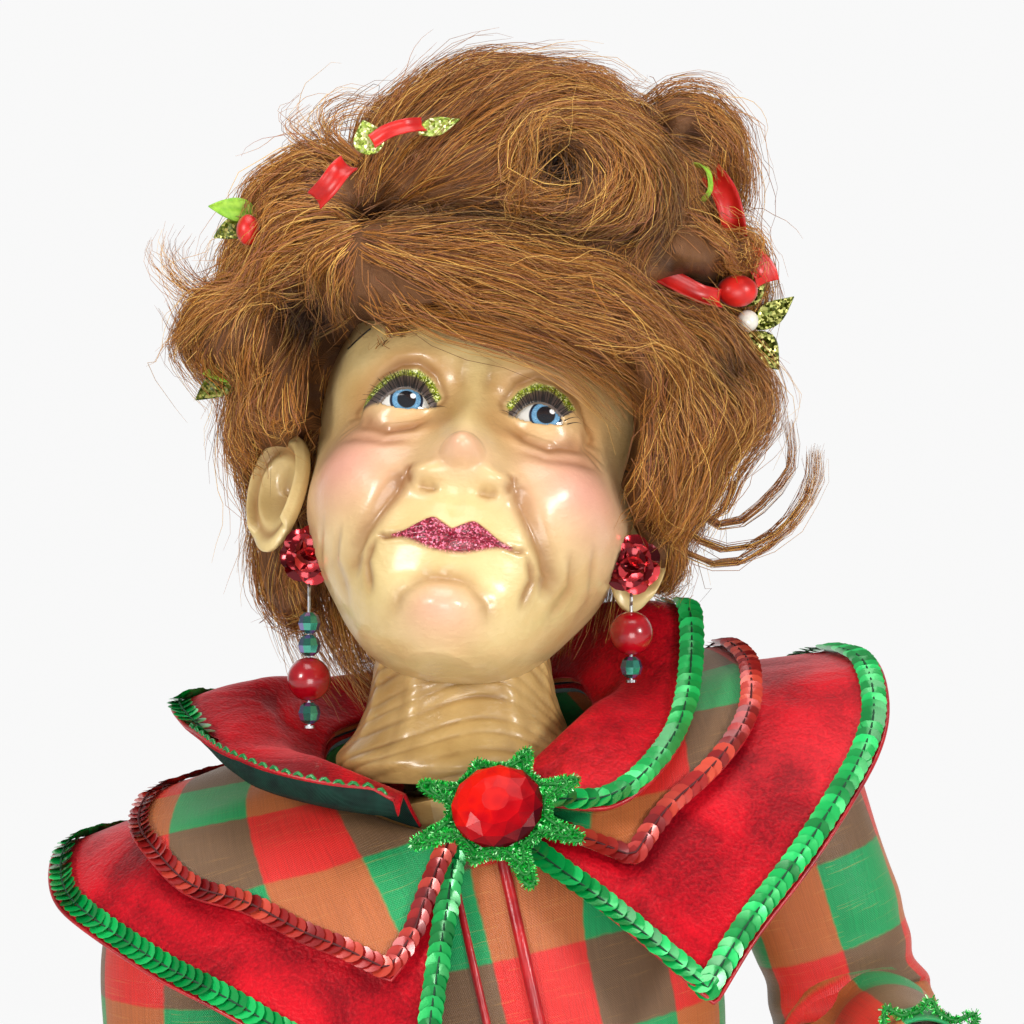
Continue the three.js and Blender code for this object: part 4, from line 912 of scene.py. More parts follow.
def smooth_line(rows, count):
    """Even points on a smooth curve through the rows."""
    rows = np.asarray(rows, float)
    steps = np.linalg.norm(np.diff(rows, axis=0), axis=1)
    place = np.concatenate([[0], np.cumsum(np.sqrt(steps))])
    return through(np.column_stack([place, rows]), np.linspace(0, place[-1], count))


fold = smooth_line(FOLD_LINE, COLLAR_COLUMNS) + [0, 0, NECK_BASE]
free = smooth_line(FREE_EDGE, COLLAR_COLUMNS) + [0, 0, NECK_BASE]
turn = np.arctan2(fold[:, 0], NECK_Y - fold[:, 1])
seam = np.stack([COLLAR_SEAM_RADIUS * np.sin(turn), NECK_Y - COLLAR_SEAM_RADIUS * np.cos(turn),
                 neckline(np.degrees(turn)) - 5.2], -1)
share = np.linspace(0, 1, COLLAR_COLUMNS)
ease = np.sin(np.pi * share)[:, None] ** 0.5
crest = fold + [0, 0, 0.6]
roll = fold + (free - fold) * 0.18 + [0, 0, 1.2]
half_way = fold + (free - fold) * 0.6 + [0, 0, 1.6] * ease
near_edge = free - (free - half_way) * 0.12
# Near the brooch the doll's right front edge is turned up and shows its lining
turned_up = (np.clip((share - 0.76) / 0.1, 0, 1) * np.clip(0.55 + (1 - share) / 0.04, 0, 1))[:, None]
lip = free + (free - half_way) * 0.12 * (1 - turned_up) + [0, -0.6, 5.6] * turned_up
ladder = [0, 0.25, 0.42, 0.52, 0.76, 0.93, 1]
lines = np.stack([seam, seam + (fold - seam) * 0.6, crest, roll, half_way, near_edge, lip])
table = np.column_stack([ladder, lines.reshape(len(lines), -1)])
collar_grid = through(table, np.linspace(0, 1, COLLAR_ROWS))
collar_grid = chest(collar_grid.reshape(COLLAR_ROWS, COLLAR_COLUMNS, 3))
faces = grid_faces(COLLAR_ROWS, COLLAR_COLUMNS)
collar = make("velvet_collar", collar_grid.reshape(-1, 3), faces, red_velvet, lining)
thickened(collar, COLLAR_CLOTH, lining=1)
put(collar, "figure", "velvet", "upper_collar")

# The braid stops where the edge turns up, and a narrow frill goes on from there
plain = int(0.79 * COLLAR_COLUMNS)
path = collar_grid[-3, 4:plain]
collar_trim, collar_thread = trimmed("collar_braid", collar, path, BRAID, green_sequin, green_thread, 4)
collar_cord = cord_along("collar_cord", spaced(collar_grid[-1], 2.0)[0], 0.6, satin, 8)
frill = spaced(collar_grid[-1, plain - 4:-1], 0.8)[0]
frill[:, 2] += 0.7 * np.sin(np.arange(len(frill)) * 1.3) + 0.5
collar_frill = cord_along("collar_frill", frill, 0.55, green_sequin, 6)
put(collar_frill, "figure", "glitter")
put(collar_trim, "figure", "glitter")
put(collar_thread, "figure", "piping")
put(collar_cord, "figure", "piping")


# The brooch is a star of looped green tinsel cord with a faceted acrylic stone glued in its middle.
# Its pin goes through the collar's front edges into the bodice.
BROOCH_AT = np.array([7, -49, 121])
BROOCH_SLOPE = np.array(Matrix.Rotation(math.radians(57), 3, "X"))
STONE_RADIUS = 12
STONE_RISE = 2.9
TINSEL_STEP = 0.075
# Half width, lean and height of a foil sliver at its foot, middle and tip
SLIVER = [(0.16, 0, 0), (0.15, 0.1, 0.55), (0.13, 0.3, 1.0)]
tinsel_random = np.random.default_rng(12)


def on_brooch(points):
    return chest(BROOCH_AT + np.asarray(points, float) @ BROOCH_SLOPE.T)


tinsel_foil, tree, shader = finish("Green tinsel", Roughness=0.3, Metallic=0.2)
# Slivers at the top of the tint are painted near white: painted glints.
coloured(tree, shader, mark(tree, "tint"), (0.0, paint(0, 96, 26)), (0.5, paint(0, 158, 44)),
         (0.85, paint(20, 210, 70)), (1.0, paint(190, 255, 190)))
tinsel_core, tree, shader = finish("Tinsel core", Base_Color=paint(0, 116, 34), Roughness=0.5)


def tinsel(name, path, body, thick, seed, *nodes):
    """A cord along a path, with cut slivers of foil that stand out from it on all sides."""
    core = cord_along(f"{name}_core", spaced(path, 0.8)[0], 0.5 * thick, tinsel_core, 6, (0.3, -0.8, 0.5))
    put(core, body, "glitter", *nodes)
    spots, ways = spaced(path, TINSEL_STEP)
    outs = tinsel_random.normal(0, 1, spots.shape)
    outs = unit(outs - ways * np.sum(outs * ways, axis=1, keepdims=True))
    blade = [(side * x, y * thick, z * thick) for x, y, z in SLIVER for side in (-1, 1)]
    shape = (blade, [(0, 1, 3, 2), (2, 3, 5, 4)])
    made = sew(name, spots + outs * 0.2 * thick, outs + 0.35 * ways, ways, shape, tinsel_foil, 0.5, seed)
    put(made, body, "glitter")


def star_path(inner, reaches, first, lift):
    """A cord led round in loops: out to each spike's tip and back; first is the first spike's angle."""
    path = []
    half = math.pi / len(reaches)
    for k, reach in enumerate(reaches):
        back = [(0.07, reach - 0.5), (0.25, (inner + reach) / 2), (0.5, inner + 0.4), (0.92, inner)]
        for share, radius in [(-s, r) for s, r in back[::-1]] + back:
            a = first + (2 * k + share) * half
            path.append((radius * math.sin(a), radius * math.cos(a), lift))
    path.append(path[0])
    return smooth_line(path, 800)


def glitter_group():
    """Loose glitter: a random Spark for each grain, and a Normal that turns from grain to grain."""
    group = bpy.data.node_groups.new("Glitter", "ShaderNodeTree")
    socket(group, "Grains per metre", "Float", "INPUT")
    socket(group, "Spark", "Float")
    socket(group, "Normal", "Vector")
    inside = add(group, "NodeGroupInput")
    outside = add(group, "NodeGroupOutput")
    grains = add(group, "ShaderNodeTexVoronoi", Vector=add(group, "ShaderNodeTexCoord").outputs["Object"],
                 Scale=inside.outputs[0])
    parts = add(group, "ShaderNodeSeparateXYZ", i0=grains.outputs["Color"])
    wire(group, parts.outputs[0], outside.inputs["Spark"])
    centred = vector(group, "SUBTRACT", i0=grains.outputs["Color"], i1=(0.5, 0.5, 0.5))
    spread = vector(group, "SCALE", i0=centred, Scale=1.3)
    flat = add(group, "ShaderNodeNewGeometry").outputs["Normal"]
    leaning = vector(group, "ADD", i0=flat, i1=spread)
    wire(group, vector(group, "NORMALIZE", i0=leaning), outside.inputs["Normal"])
    return group


glitter = glitter_group()


def glittered(tree, grains):
    made = add(tree, "ShaderNodeGroup", {"node_tree": glitter})
    made.inputs["Grains per metre"].default_value = grains
    return made


tinsel_cloth, tree, shader = finish("Tinsel cloth", Roughness=0.35, Metallic=0.2)
grains = glittered(tree, 1300.0)
# The brightest grains are painted near white: painted glints.
coloured(tree, shader, grains.outputs["Spark"], (0.1, paint(0, 84, 22)), (0.55, paint(0, 160, 44)),
         (0.82, paint(16, 214, 70)), (0.95, paint(200, 255, 200)))
wire(tree, grains.outputs["Normal"], shader.inputs["Normal"])

# A plate of tinsel cloth fills the star, and cords lie inside one another on its spikes
SPIKES = np.array([19.5, 22.3, 24, 24.4, 16.5, 24.2, 22.5, 16.5])
FIRST_SPIKE = math.radians(35)
rim = star_path(13.0, SPIKES - 0.4, FIRST_SPIKE, 0)[:-1:4]
PLATE_ROWS = [(0.3, 0.4), (1, 0.4), (1, 1.2), (0.8, 2.0), (0.3, 2.2)]
rings = np.array([rim * [share, share, 0] + [0, 0, height] for share, height in PLATE_ROWS])
faces = ring_faces(len(PLATE_ROWS), len(rim))
plate = make("brooch_plate", on_brooch(rings.reshape(-1, 3)), faces, tinsel_cloth)
put(plate, "figure", "glitter", "brooch_star")
for k, (share, lift) in enumerate(((1.0, 1.2), (0.74, 1.8), (0.48, 2.2))):
    star = on_brooch(star_path(13.2 - k * 0.5, 12 + (SPIKES - 12) * share, FIRST_SPIKE, lift))
    tinsel(f"brooch_tinsel_{k + 1}", star, "figure", 1.15, 6 + k)

stone_red, tree, shader = finish("Red acrylic stone", Roughness=0.2, Specular_IOR_Level=0.12)
# Facets that face up, forward and towards the doll's right get brighter reds, and those that face away get
# darker reds: painted light and shade.
facing = add(tree, "ShaderNodeNewGeometry").outputs["True Normal"]
glow = vector(tree, "DOT_PRODUCT", i0=facing, i1=(-0.62, -0.42, 0.66))
depth = add(tree, "ShaderNodeTexVoronoi", Vector=place_on_object(tree), Scale=260.0)
cut = calc(tree, "ADD", glow.outputs["Value"], calc(tree, "MULTIPLY", depth.outputs["Distance"], 0.25))
coloured(tree, shader, cut, (0.15, paint(60, 0, 8)), (0.55, paint(126, 2, 12)), (0.86, paint(176, 6, 16)),
         (1.0, paint(208, 20, 12)))


def stone(radius, sides):
    """A cut stone: girdle, two rows of facets and a flat table, each row turned half a step."""
    rows = [(1.0, 0.0), (1.0, 1.2), (0.86, 3.0), (0.6, 4.4), (0.3, 5.0)]
    points, faces = [], []
    for row, (share, height) in enumerate(rows):
        points += [(share * radius * math.sin(a), share * radius * math.cos(a), height)
                   for a in 2 * np.pi * (np.arange(sides) + 0.5 * (row % 2)) / sides]
    last = len(rows) - 1
    for row in range(last):
        low, high = row * sides, (row + 1) * sides
        for j in range(sides):
            k = (j + 1) % sides
            if row % 2 == 0:
                faces += [(low + j, high + j, low + k), (low + k, high + j, high + k)]
            else:
                faces += [(low + j, high + k, high + j), (low + j, low + k, high + k)]
    faces += [tuple(range(sides)), tuple(last * sides + j for j in range(sides))[::-1]]
    return points, outward(points, faces)


form, faces = stone(STONE_RADIUS, 12)
gem = make("brooch_stone", on_brooch(np.array(form) + [0, 0, STONE_RISE]), faces, stone_red)
gem.data.shade_flat()
put(gem, "figure", "gem", "brooch_gem")


# Each arm is a stuffed core on an armature wire, in a loose taffeta sleeve set into the bodice's shoulder.
# The sleeve creases at the elbow; a ring of tinsel spikes trims the wrist, over a stuffed velvet glove.
# Each arm's shoulder, elbow and forearm direction on the chest
ARMS = {
    "left": (np.array([82, 4, 103]), np.array([88, 10, 38]), np.array([0.2, -0.97, -0.12])),
    "right": (np.array([-84, 4, 103]), np.array([-101, 8, 38]), np.array([-0.1, -0.99, 0])),
}
FOREARM = 58
SHOULDER_RADIUS = 22
ELBOW_ROUND = 10
ELBOW_RADII = [21, 21.6, 22.2, 22.6, 22.8, 22.4, 21.6, 20.6, 19.6]
WRIST_RADII = [15.6, 13.4, 12.6]
SQUARES_ROUND_SLEEVE = 6
CUFF_SPIKES = (19.0, 20.2, 18.2) * 3
SLEEVE_SIDES = 72
SLEEVE_ROWS = 110


def bell(distance, width):
    return np.exp(-(distance / width) ** 2)


def sleeve_line(shoulder, elbow, wrist):
    """The sleeve's middle line from above the shoulder to the wrist, with its places and radii."""
    down, fore = unit(elbow - shoulder), unit(wrist - elbow)
    tilt = np.radians(np.linspace(14, 90, 8))
    cap = [shoulder - down * SHOULDER_RADIUS * math.cos(t) for t in tilt]
    enter, leave = elbow - ELBOW_ROUND * down, elbow + ELBOW_ROUND * fore
    bend = [(1 - t) ** 2 * enter + 2 * t * (1 - t) * elbow + t * t * leave
            for t in np.linspace(0, 1, len(ELBOW_RADII))]
    line = cap + [shoulder + (enter - shoulder) * 0.5] + bend
    line = np.array(line + [elbow + (wrist - elbow) * 0.68, wrist - fore * 3, wrist])
    radius = [SHOULDER_RADIUS * math.sin(t) for t in tilt] + [21.2] + ELBOW_RADII + WRIST_RADII
    length = run_along(line)
    at = np.linspace(0, length[-1], SLEEVE_ROWS)
    made = through(np.column_stack([length, line, radius]), at)
    return at, made[:, :3], made[:, 3]


for side, (shoulder, elbow, reach) in ARMS.items():
    down, fore = unit(elbow - shoulder), unit(reach)
    wrist = elbow + FOREARM * fore
    at, line, radius = sleeve_line(shoulder, elbow, wrist)
    hinge = unit(np.cross(elbow - shoulder, reach))
    inner = np.cross(hinge, ways_along(line))
    turn = even_angles(SLEEVE_SIDES)
    bend_at = at[np.argmin(np.linalg.norm(line - elbow, axis=1))]
    along = (at - bend_at)[:, None]
    creases = np.sin(along / 2.1 + 1.6 * np.sin(turn)) * bell(along, 20) * (0.55 + 0.45 * np.cos(turn)) * 1.5
    slack = 0.9 * np.sin(along / 9 + 2.3 * np.sin(turn + 0.7)) * bell(along, 60)
    slack = slack + 0.5 * np.sin(3 * turn + along / 14)
    swell = radius[:, None] + (creases + slack) * np.clip(np.minimum(at, at[-1] - at) / 8, 0, 1)[:, None]
    points = line[:, None] + swell[..., None] * (
        inner[:, None] * np.cos(turn)[None, :, None] + hinge * np.sin(turn)[None, :, None])
    squares_round = turn / (2 * np.pi) * SQUARES_ROUND_SLEEVE + 0.4
    uv = np.stack(np.broadcast_arrays(squares_round, at[:, None] / CHECK_SQUARE), -1)
    sleeve = seamed_tube(f"taffeta_sleeve_{side}", chest(points), uv, taffeta)
    thickened(sleeve, DRESS_CLOTH)
    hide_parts(f"upper_sleeve_{side}", f"forearm_sleeve_{side}")
    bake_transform(sleeve)
    across = unit(np.cross(fore, [0, 0, 1]))
    above = np.cross(across, fore)
    ring = star_path(14.6, CUFF_SPIKES, math.radians(20), 0)
    spikes = wrist - 2.2 * fore + ring[:, :1] * across + ring[:, 1:2] * above
    tinsel(f"cuff_tinsel_{side}", chest(spikes), f"{side}_forearm", 1.4, 8, f"cuff_star_{side}")


# The head is cast in resin with its ears, then painted and varnished: a brown wash rubbed into the wrinkles,
# pink on the cheeks, nose and chin, glitter on the lids and lips. Its neck turns in the shoulder plate.
HEAD_CENTRE = np.array([-20, 8, 520])
HEAD_TURN = np.array(
    Matrix.Rotation(math.radians(8), 3, "Y")
    @ Matrix.Rotation(math.radians(-22), 3, "X")
    @ Matrix.Rotation(math.radians(-4), 3, "Z")
)
# Level rings of the skull: height, front, back and half width
HEAD_RINGS = [
    [-59, -38, -22, 8], [-56, -42, -10, 15], [-51, -46, 6, 21.5], [-44, -48, 20, 27], [-34, -48, 33, 33],
    [-24, -48, 42, 38.5], [-12, -47, 49, 42], [0, -45, 53, 44], [12, -43, 55, 44.6], [24, -44, 55, 44.6],
    [38, -42, 52, 42.6], [52, -34, 44, 36], [62, -18, 30, 18], [65, -4, 14, 8],
]
# Soft bumps and hollows of the face: x, height, size, half breadth, half tallness; both sides where x isn't 0
FACE_FORMS = [
    [0, -8, 8.5, 7, 6.5], [0, 2, 5, 4.6, 8], [0, 11, 2.4, 5, 7], [8.4, -13.6, 4.6, 4, 3.2],
    [6.6, -16.6, -1.8, 1.8, 1.0], [27, -9, 7.2, 11, 10.5], [30, -26, 2.0, 8, 9], [0, -50, 5.4, 7.6, 6.4],
    [0, -40.5, -1.6, 11, 3.2], [0, -28, 3.2, 14, 7], [0, -21.5, -0.7, 1.7, 3.5], [17.5, -37, 1.2, 5, 8],
    [18.4, 11, -2.4, 11, 7], [18.5, 24, 2.2, 13, 5], [19.5, 2.6, 1.3, 9, 2.4], [37, 6, -1.2, 6, 10],
]
# The ball of the nose tip: height, radius, and how far it stands out
NOSE_BALL = (-7.6, 6.0, 5.0)
# Modelled wrinkles: half width, depth and points as x, height; each is on both sides
WRINKLES = [
    [1.7, 1.6, [(12.5, -11.5), (14.6, -15.5), (18.4, -22), (22.4, -28.5), (24.4, -33), (23, -39)]],
    [1.1, 1.0, [(29, 7), (25.4, 3.2), (20, 0.4), (14.5, 2), (9.5, 6)]],
    [1.1, 0.45, [(34, 2), (26, -1.4), (20, -3.2), (13, -1.6)]],
    [0.8, 0.8, [(18.5, -29.5), (20.8, -36), (19, -45)]],
    [0.8, 0.5, [(28, -24), (29.5, -32), (25.5, -44)]],
    [0.7, 0.4, [(33, -19), (34.5, -30), (30.5, -43)]],
    [0.7, 0.35, [(29, 8), (35, 10.5)]],
    [0.7, 0.35, [(29, 7), (36, 5.6)]],
    [0.7, 0.35, [(28.5, 6), (34.5, 1.6)]],
    [1.0, 0.9, [(8, 13), (11, 18.3), (15.5, 21.4), (20.5, 21.5), (25.5, 18.8), (30.5, 12)]],
    [1.0, 0.9, [(12.0, -9.8), (12.9, -13.3), (11.2, -17.0)]],
    [0.8, 0.6, [(4.5, -16.8), (7.5, -17.6), (10, -16.6)]],
    [1.2, 0.3, [(3.2, 13), (4.2, 20), (3.6, 25)]],
    [0.6, 1.0, [(0, -30.7), (5.5, -29.9), (16.4, -30.5), (18.8, -29.4)]],
    [1.6, 0.2, [(0, 34), (12, 35.5), (26, 32)]],
    [1.6, 0.5, [(0, -41), (6, -41.6), (11, -46), (12, -52)]],
]
# The middle of the glitter painted over each lid
LID_GLITTER = [(29.6, 10.6), (27, 13.4), (23.6, 16.8), (19.8, 18.7), (15.8, 18.5), (12.4, 16.0), (10, 12.2)]
EYE_AT = np.array([18.6, -32, 10.3])
EYE_RADIUS = 10.5
LID_RADIUS = 11.7
EYE_CORNERS = (11.6, 24.9)
LIP_CORNER = 15.0
BROW_HEIGHT = 36
LIP_TOP = [[0, -28.7], [2.2, -27.2], [4.8, -25.7], [7.4, -26.8], [10.6, -28.9], [15.4, -30.1]]
LIP_FOOT = [[0, -34.7], [3.6, -34.3], [7.2, -33.0], [11, -31.4], [15.4, -30.3]]
HEAD_SIDES = 300
FACE_ROWS = 208
CROWN_ROWS = 26


def of_head(points):
    """Points of the head's own frame as points of the doll."""
    return HEAD_CENTRE + np.asarray(points, float) @ HEAD_TURN.T


def nearest(x, z, path):
    """Distance in the face's plane from each point to a path, and the share of the path there."""
    best = np.full(np.shape(x), 1e9)
    share = np.zeros(np.shape(x))
    for k, ((ax, az), (bx, bz)) in enumerate(zip(path[:-1], path[1:])):
        run = np.array([bx - ax, bz - az])
        t = np.clip(((x - ax) * run[0] + (z - az) * run[1]) / (run @ run), 0, 1)
        gap = np.hypot(x - ax - t * run[0], z - az - t * run[1])
        share = np.where(gap < best, (k + t) / (len(path) - 1), share)
        best = np.minimum(best, gap)
    return best, share


def lid_edges(share):
    """The lids between the eye's corners: an arch from 0 to 1 and the heights of both edges."""
    arch = np.clip(4 * share * (1 - share), 0, 1)
    corner = 9.1 - 0.5 * share
    return arch, corner + 4.4 * arch**0.75, corner - 1.5 * arch


def eye_opening(x, z):
    """How far a point of the face is inside the eye opening and above the upper lid, and its share across."""
    width = EYE_CORNERS[1] - EYE_CORNERS[0]
    share = (np.abs(x) - EYE_CORNERS[0]) / width
    upper, lower = lid_edges(share)[1:]
    beside = np.minimum(share, 1 - share) * width
    return np.minimum(np.minimum(z - lower, upper - z), beside), z - upper, share


def lip_mask(x, z):
    """1 on the painted lips, 0 off them, with a soft edge."""
    away = np.abs(x)
    top = through(LIP_TOP, away)[..., 0]
    foot = through(LIP_FOOT, away)[..., 0]
    depth = np.minimum(np.minimum(top - z, z - foot), LIP_CORNER - away)
    return np.clip(depth / 0.5 + 0.5, 0, 1)


def head_surface():
    """The head's rings of points, and the marks that its paint follows."""
    foot, top = HEAD_RINGS[0][0], HEAD_RINGS[-1][0]
    levels = np.concatenate([np.linspace(foot, BROW_HEIGHT, FACE_ROWS),
                             np.linspace(BROW_HEIGHT, top, CROWN_ROWS)[1:]])
    even = round_steps(HEAD_SIDES)
    angle = even - 0.65 * np.sin(even)
    front, back, half = through(HEAD_RINGS, levels).T[:, :, None]
    middle, depth = (front + back) / 2, (back - front) / 2
    out = np.stack(np.broadcast_arrays(np.sin(angle), -np.cos(angle), 0 * levels[:, None]), -1)
    x = half * np.sin(angle)
    y = middle - depth * np.cos(angle)
    z = np.broadcast_to(levels[:, None], x.shape)
    facing = np.clip((np.cos(angle) + 0.1) / 0.35, 0, 1) + 0 * x
    swell = np.zeros(x.shape)
    wash = np.zeros(x.shape)
    for fx, fz, size, breadth, tallness in FACE_FORMS:
        for side in ([1, -1] if fx else [1]):
            swell += size * bell(x - side * fx, breadth * 1.2) * bell(z - fz, tallness * 1.2)
    for width, depth_in, path in WRINKLES:
        for side in (1, -1):
            distance, run = nearest(side * x, z, path)
            start = 1.0 if path[0][0] == 0 else np.clip(run / 0.25, 0, 1)
            deep = depth_in * start * np.clip((1 - run) / 0.25, 0, 1)
            swell -= deep * (bell(distance, width) - 0.22 * bell(distance - 2.2 * width, 1.5 * width))
            wash = np.maximum(wash, np.minimum(1.0, 1.2 * deep) * bell(distance, 1.7 * width))
    lips = lip_mask(x, z) * (facing > 0.9)
    swell += 1.1 * lips
    points = np.stack([x, y, z], -1) + out * (swell * facing)[..., None]
    height, size, forward = NOSE_BALL
    reach = np.hypot(points[..., 0], 1.2 * (z - height))
    points[..., 1] -= forward * np.maximum(1 - (reach / size) ** 2, 0) ** 0.7 * (facing > 0.5)
    inside, above_lid, share = eye_opening(x, z)
    near = np.hypot(np.abs(x) - EYE_AT[0], z - EYE_AT[2])
    lid = EYE_AT[1] - np.sqrt(np.maximum(LID_RADIUS**2 - near**2, 0.0))
    y = points[..., 1]
    on_front = facing > 0.5
    domed = np.where((near < LID_RADIUS) & on_front, np.minimum(y, lid) - 0.35 * bell(y - lid, 1.5), y)
    sunk = np.clip(inside / 0.45, 0, 1)
    points[..., 1] = np.where(on_front, domed * (1 - sunk) + (EYE_AT[1] - 5.0) * sunk, y)
    glitter_line, run = nearest(np.abs(x), z, LID_GLITTER)
    tops = np.array(LID_GLITTER[::-1])
    under = np.interp(np.abs(x), tops[:, 0], tops[:, 1], left=-99, right=-99) - z
    crease = 0.8 * bell(glitter_line - 2.6, 0.9) * (under < 0) * (z > 9)
    marks = {"wash": np.maximum(wash, crease) * facing, "lips": lips}
    marks["blush"] = facing * np.clip(
        bell(np.hypot((np.abs(x) - 27.5) / 1.05, z + 9), 14)
        + 0.65 * bell(np.hypot(x, z + 8), 6.5) + 0.85 * bell(np.hypot(x, (z + 50) / 0.8), 9), 0, 1)
    marks["liner"] = on_front * np.clip(0.5 + above_lid, 0, 1) * np.clip(under / 0.6, 0, 1)
    marks["liner"] = np.maximum(marks["liner"], on_front * (share > -0.05) * (share < 1.05)
                                * np.clip(1.4 - np.abs(above_lid - 0.3) / 0.7, 0, 1))
    marks["liner"] *= (x < 0) | (run > 0.14)
    marks["shadow"] = on_front * np.clip((1.3 - glitter_line) / 0.5, 0, 1) * ((x < 0) | (run > 0.17))
    inner_bag = bell(np.hypot((np.abs(x) - 10) / 1.5, (z - 5) / 0.8), 4.5)
    marks["socket"] = on_front * np.clip(
        bell(near - 12.5, 4.5) * np.clip(0.55 + z / 40, 0, 1) + inner_bag
        + 0.3 * bell(np.hypot((np.abs(x) - 36) / 0.8, z - 16), 9) + 0.3 * bell(z - 38, 6), 0, 1)
    return points, marks


def resin_skin(name, base, pale, hollow_brown):
    """Painted and varnished resin with marks for wash, blush, lips and lids, each read from the mesh."""
    material, tree, shader = finish(name, Coat_Weight=0.5, Coat_Roughness=0.2, Specular_IOR_Level=0.35)
    patch = noise(tree, 75.0, 4.0)
    fine = noise(tree, 1.0, 3.0, (500, 500, 900))
    colour = ramp(tree, patch, (0.3, base), (0.7, pale))
    colour = mixed(tree, calc(tree, "MULTIPLY", mark(tree, "socket"), 0.45), colour, paint(186, 112, 44))
    worn = ramp(tree, patch, (0.25, 1.0), (0.75, 0.6))
    rubbed = calc(tree, "MULTIPLY", mark(tree, "wash"), worn)
    colour = mixed(tree, calc(tree, "MULTIPLY", mark(tree, "blush"), 0.66), colour, paint(228, 150, 148))
    colour = mixed(tree, calc(tree, "MULTIPLY", rubbed, 0.85), colour, hollow_brown)
    colour = mixed(tree, mark(tree, "liner"), colour, paint(90, 78, 74))
    grains = glittered(tree, 2400.0)
    # The brightest grains of the lid and lip glitter are painted pale: painted glints.
    lid_paint = ramp(tree, grains.outputs["Spark"], (0.2, paint(96, 112, 8)), (0.65, paint(164, 182, 22)),
                     (0.9, paint(250, 255, 180)))
    lip_paint = ramp(tree, grains.outputs["Spark"], (0.2, paint(104, 2, 30)), (0.7, paint(158, 12, 46)),
                     (0.95, paint(246, 132, 164)))
    colour = mixed(tree, mark(tree, "shadow"), colour, lid_paint)
    colour = mixed(tree, mark(tree, "lips"), colour, lip_paint)
    wire(tree, colour, shader.inputs["Base Color"])
    sparkling = calc(tree, "MAXIMUM", mark(tree, "shadow"), mark(tree, "lips"))
    gloss = calc(tree, "ADD", sparkling, calc(tree, "MULTIPLY", rubbed, 0.4))
    wire(tree, ramp(tree, gloss, (0.0, 0.4), (1.0, 0.3)), shader.inputs["Roughness"])
    uneven = calc(tree, "ADD", calc(tree, "MULTIPLY", patch, 3.0), fine)
    turned_grain = add(tree, "ShaderNodeMix", {"data_type": "VECTOR"},
                       i0=calc(tree, "MULTIPLY", sparkling, 0.8),
                       i4=bumped(tree, uneven, 0.2), i5=grains.outputs["Normal"])
    wire(tree, turned_grain.outputs[1], shader.inputs["Normal"])
    return material


skin = resin_skin("Painted resin", paint(208, 180, 120), paint(226, 202, 144), paint(136, 80, 32))
# The neck and the shoulder plate take the same paint in darker browns than the face.
neck_skin = resin_skin("Painted resin neck", paint(178, 144, 86), paint(204, 170, 108), paint(104, 64, 28))


def closed_rings(points):
    """Points and faces of a stack of rings, with a fan to one more point at each end."""
    rows, sides = points.shape[:2]
    ends = np.array([points[0].mean(0), points[-1].mean(0)])
    faces = ring_faces(rows, sides)
    foot, last = rows * sides, (rows - 1) * sides
    for j in range(sides):
        k = (j + 1) % sides
        faces += [(foot, k, j), (foot + 1, last + j, last + k)]
    flat = np.concatenate([points.reshape(-1, 3), ends])
    return flat, outward(flat, faces)


def with_ends(values):
    """Marks on a stack of rings, with none on the two end points."""
    return np.concatenate([np.ravel(values), [0, 0]])


points, marks = head_surface()
head = make("resin_head", *closed_rings(of_head(points)), skin)
marked(head.data, **{name: with_ends(values) for name, values in marks.items()})
put(head, "head_unit", "resin", "head")


EAR_HALF = (10.4, 18.5)
EAR_TURN = 0.75
EARS = {"left": (1, [46, 7, -6]), "right": (-1, [-52.5, -4, -5])}


def ear(side, centre):
    """An ear as a dished leaf: a rolled rim, an inner ridge and a hollow, with a smooth back."""
    turn = round_steps(64)
    taper = 1 + 0.16 * np.sin(turn)
    outline = np.stack([EAR_HALF[0] * np.cos(turn) * taper, EAR_HALF[1] * np.sin(turn)], -1)
    rings, hollow_brown = [], []
    upper = 0.35 + 0.65 * (np.sin(turn) > -0.7)
    for r in np.linspace(0.02, 1, 40):
        rim = 3.4 * bell(r - 0.87, 0.13) * upper
        ridge = 2.2 * bell(r - 0.56, 0.13) * np.clip(0.4 + np.cos(turn - 0.5), 0, 1)
        hollow = -4.0 * bell(r, 0.42) * np.clip(1.1 - np.sin(turn) * 0.5, 0, 1)
        rings.append((r, rim + ridge + hollow - 0.6 * r))
        # Brown is put in the ear's middle hollow and in the groove inside its rim.
        hollow_brown.append(np.clip(bell(r - 0.71, 0.1) * 0.9 + bell(r, 0.4) * 0.8, 0, 1) + 0 * turn)
    for r in np.linspace(0.98, 0.02, 14):
        rings.append((r, -0.6 - 4.2 * math.sqrt(1 - r * r) + 0 * turn))
        hollow_brown.append(0 * turn)
    across = np.array([side * math.cos(EAR_TURN), math.sin(EAR_TURN), 0])
    above = np.array([0, 0.16, 1])
    out = np.array([side * math.sin(EAR_TURN), -math.cos(EAR_TURN), 0])
    points = np.array([
        np.array(centre) + outline[:, :1] * r * across + outline[:, 1:] * r * above + h[:, None] * out
        for r, h in rings
    ])
    return closed_rings(of_head(points)), with_ends(hollow_brown)


for side, (sign, centre) in EARS.items():
    form, hollow_brown = ear(sign, centre)
    made = make(f"ear_{side}", *form, skin)
    marked(made.data, wash=hollow_brown)
    put(made, "head_unit", "resin")

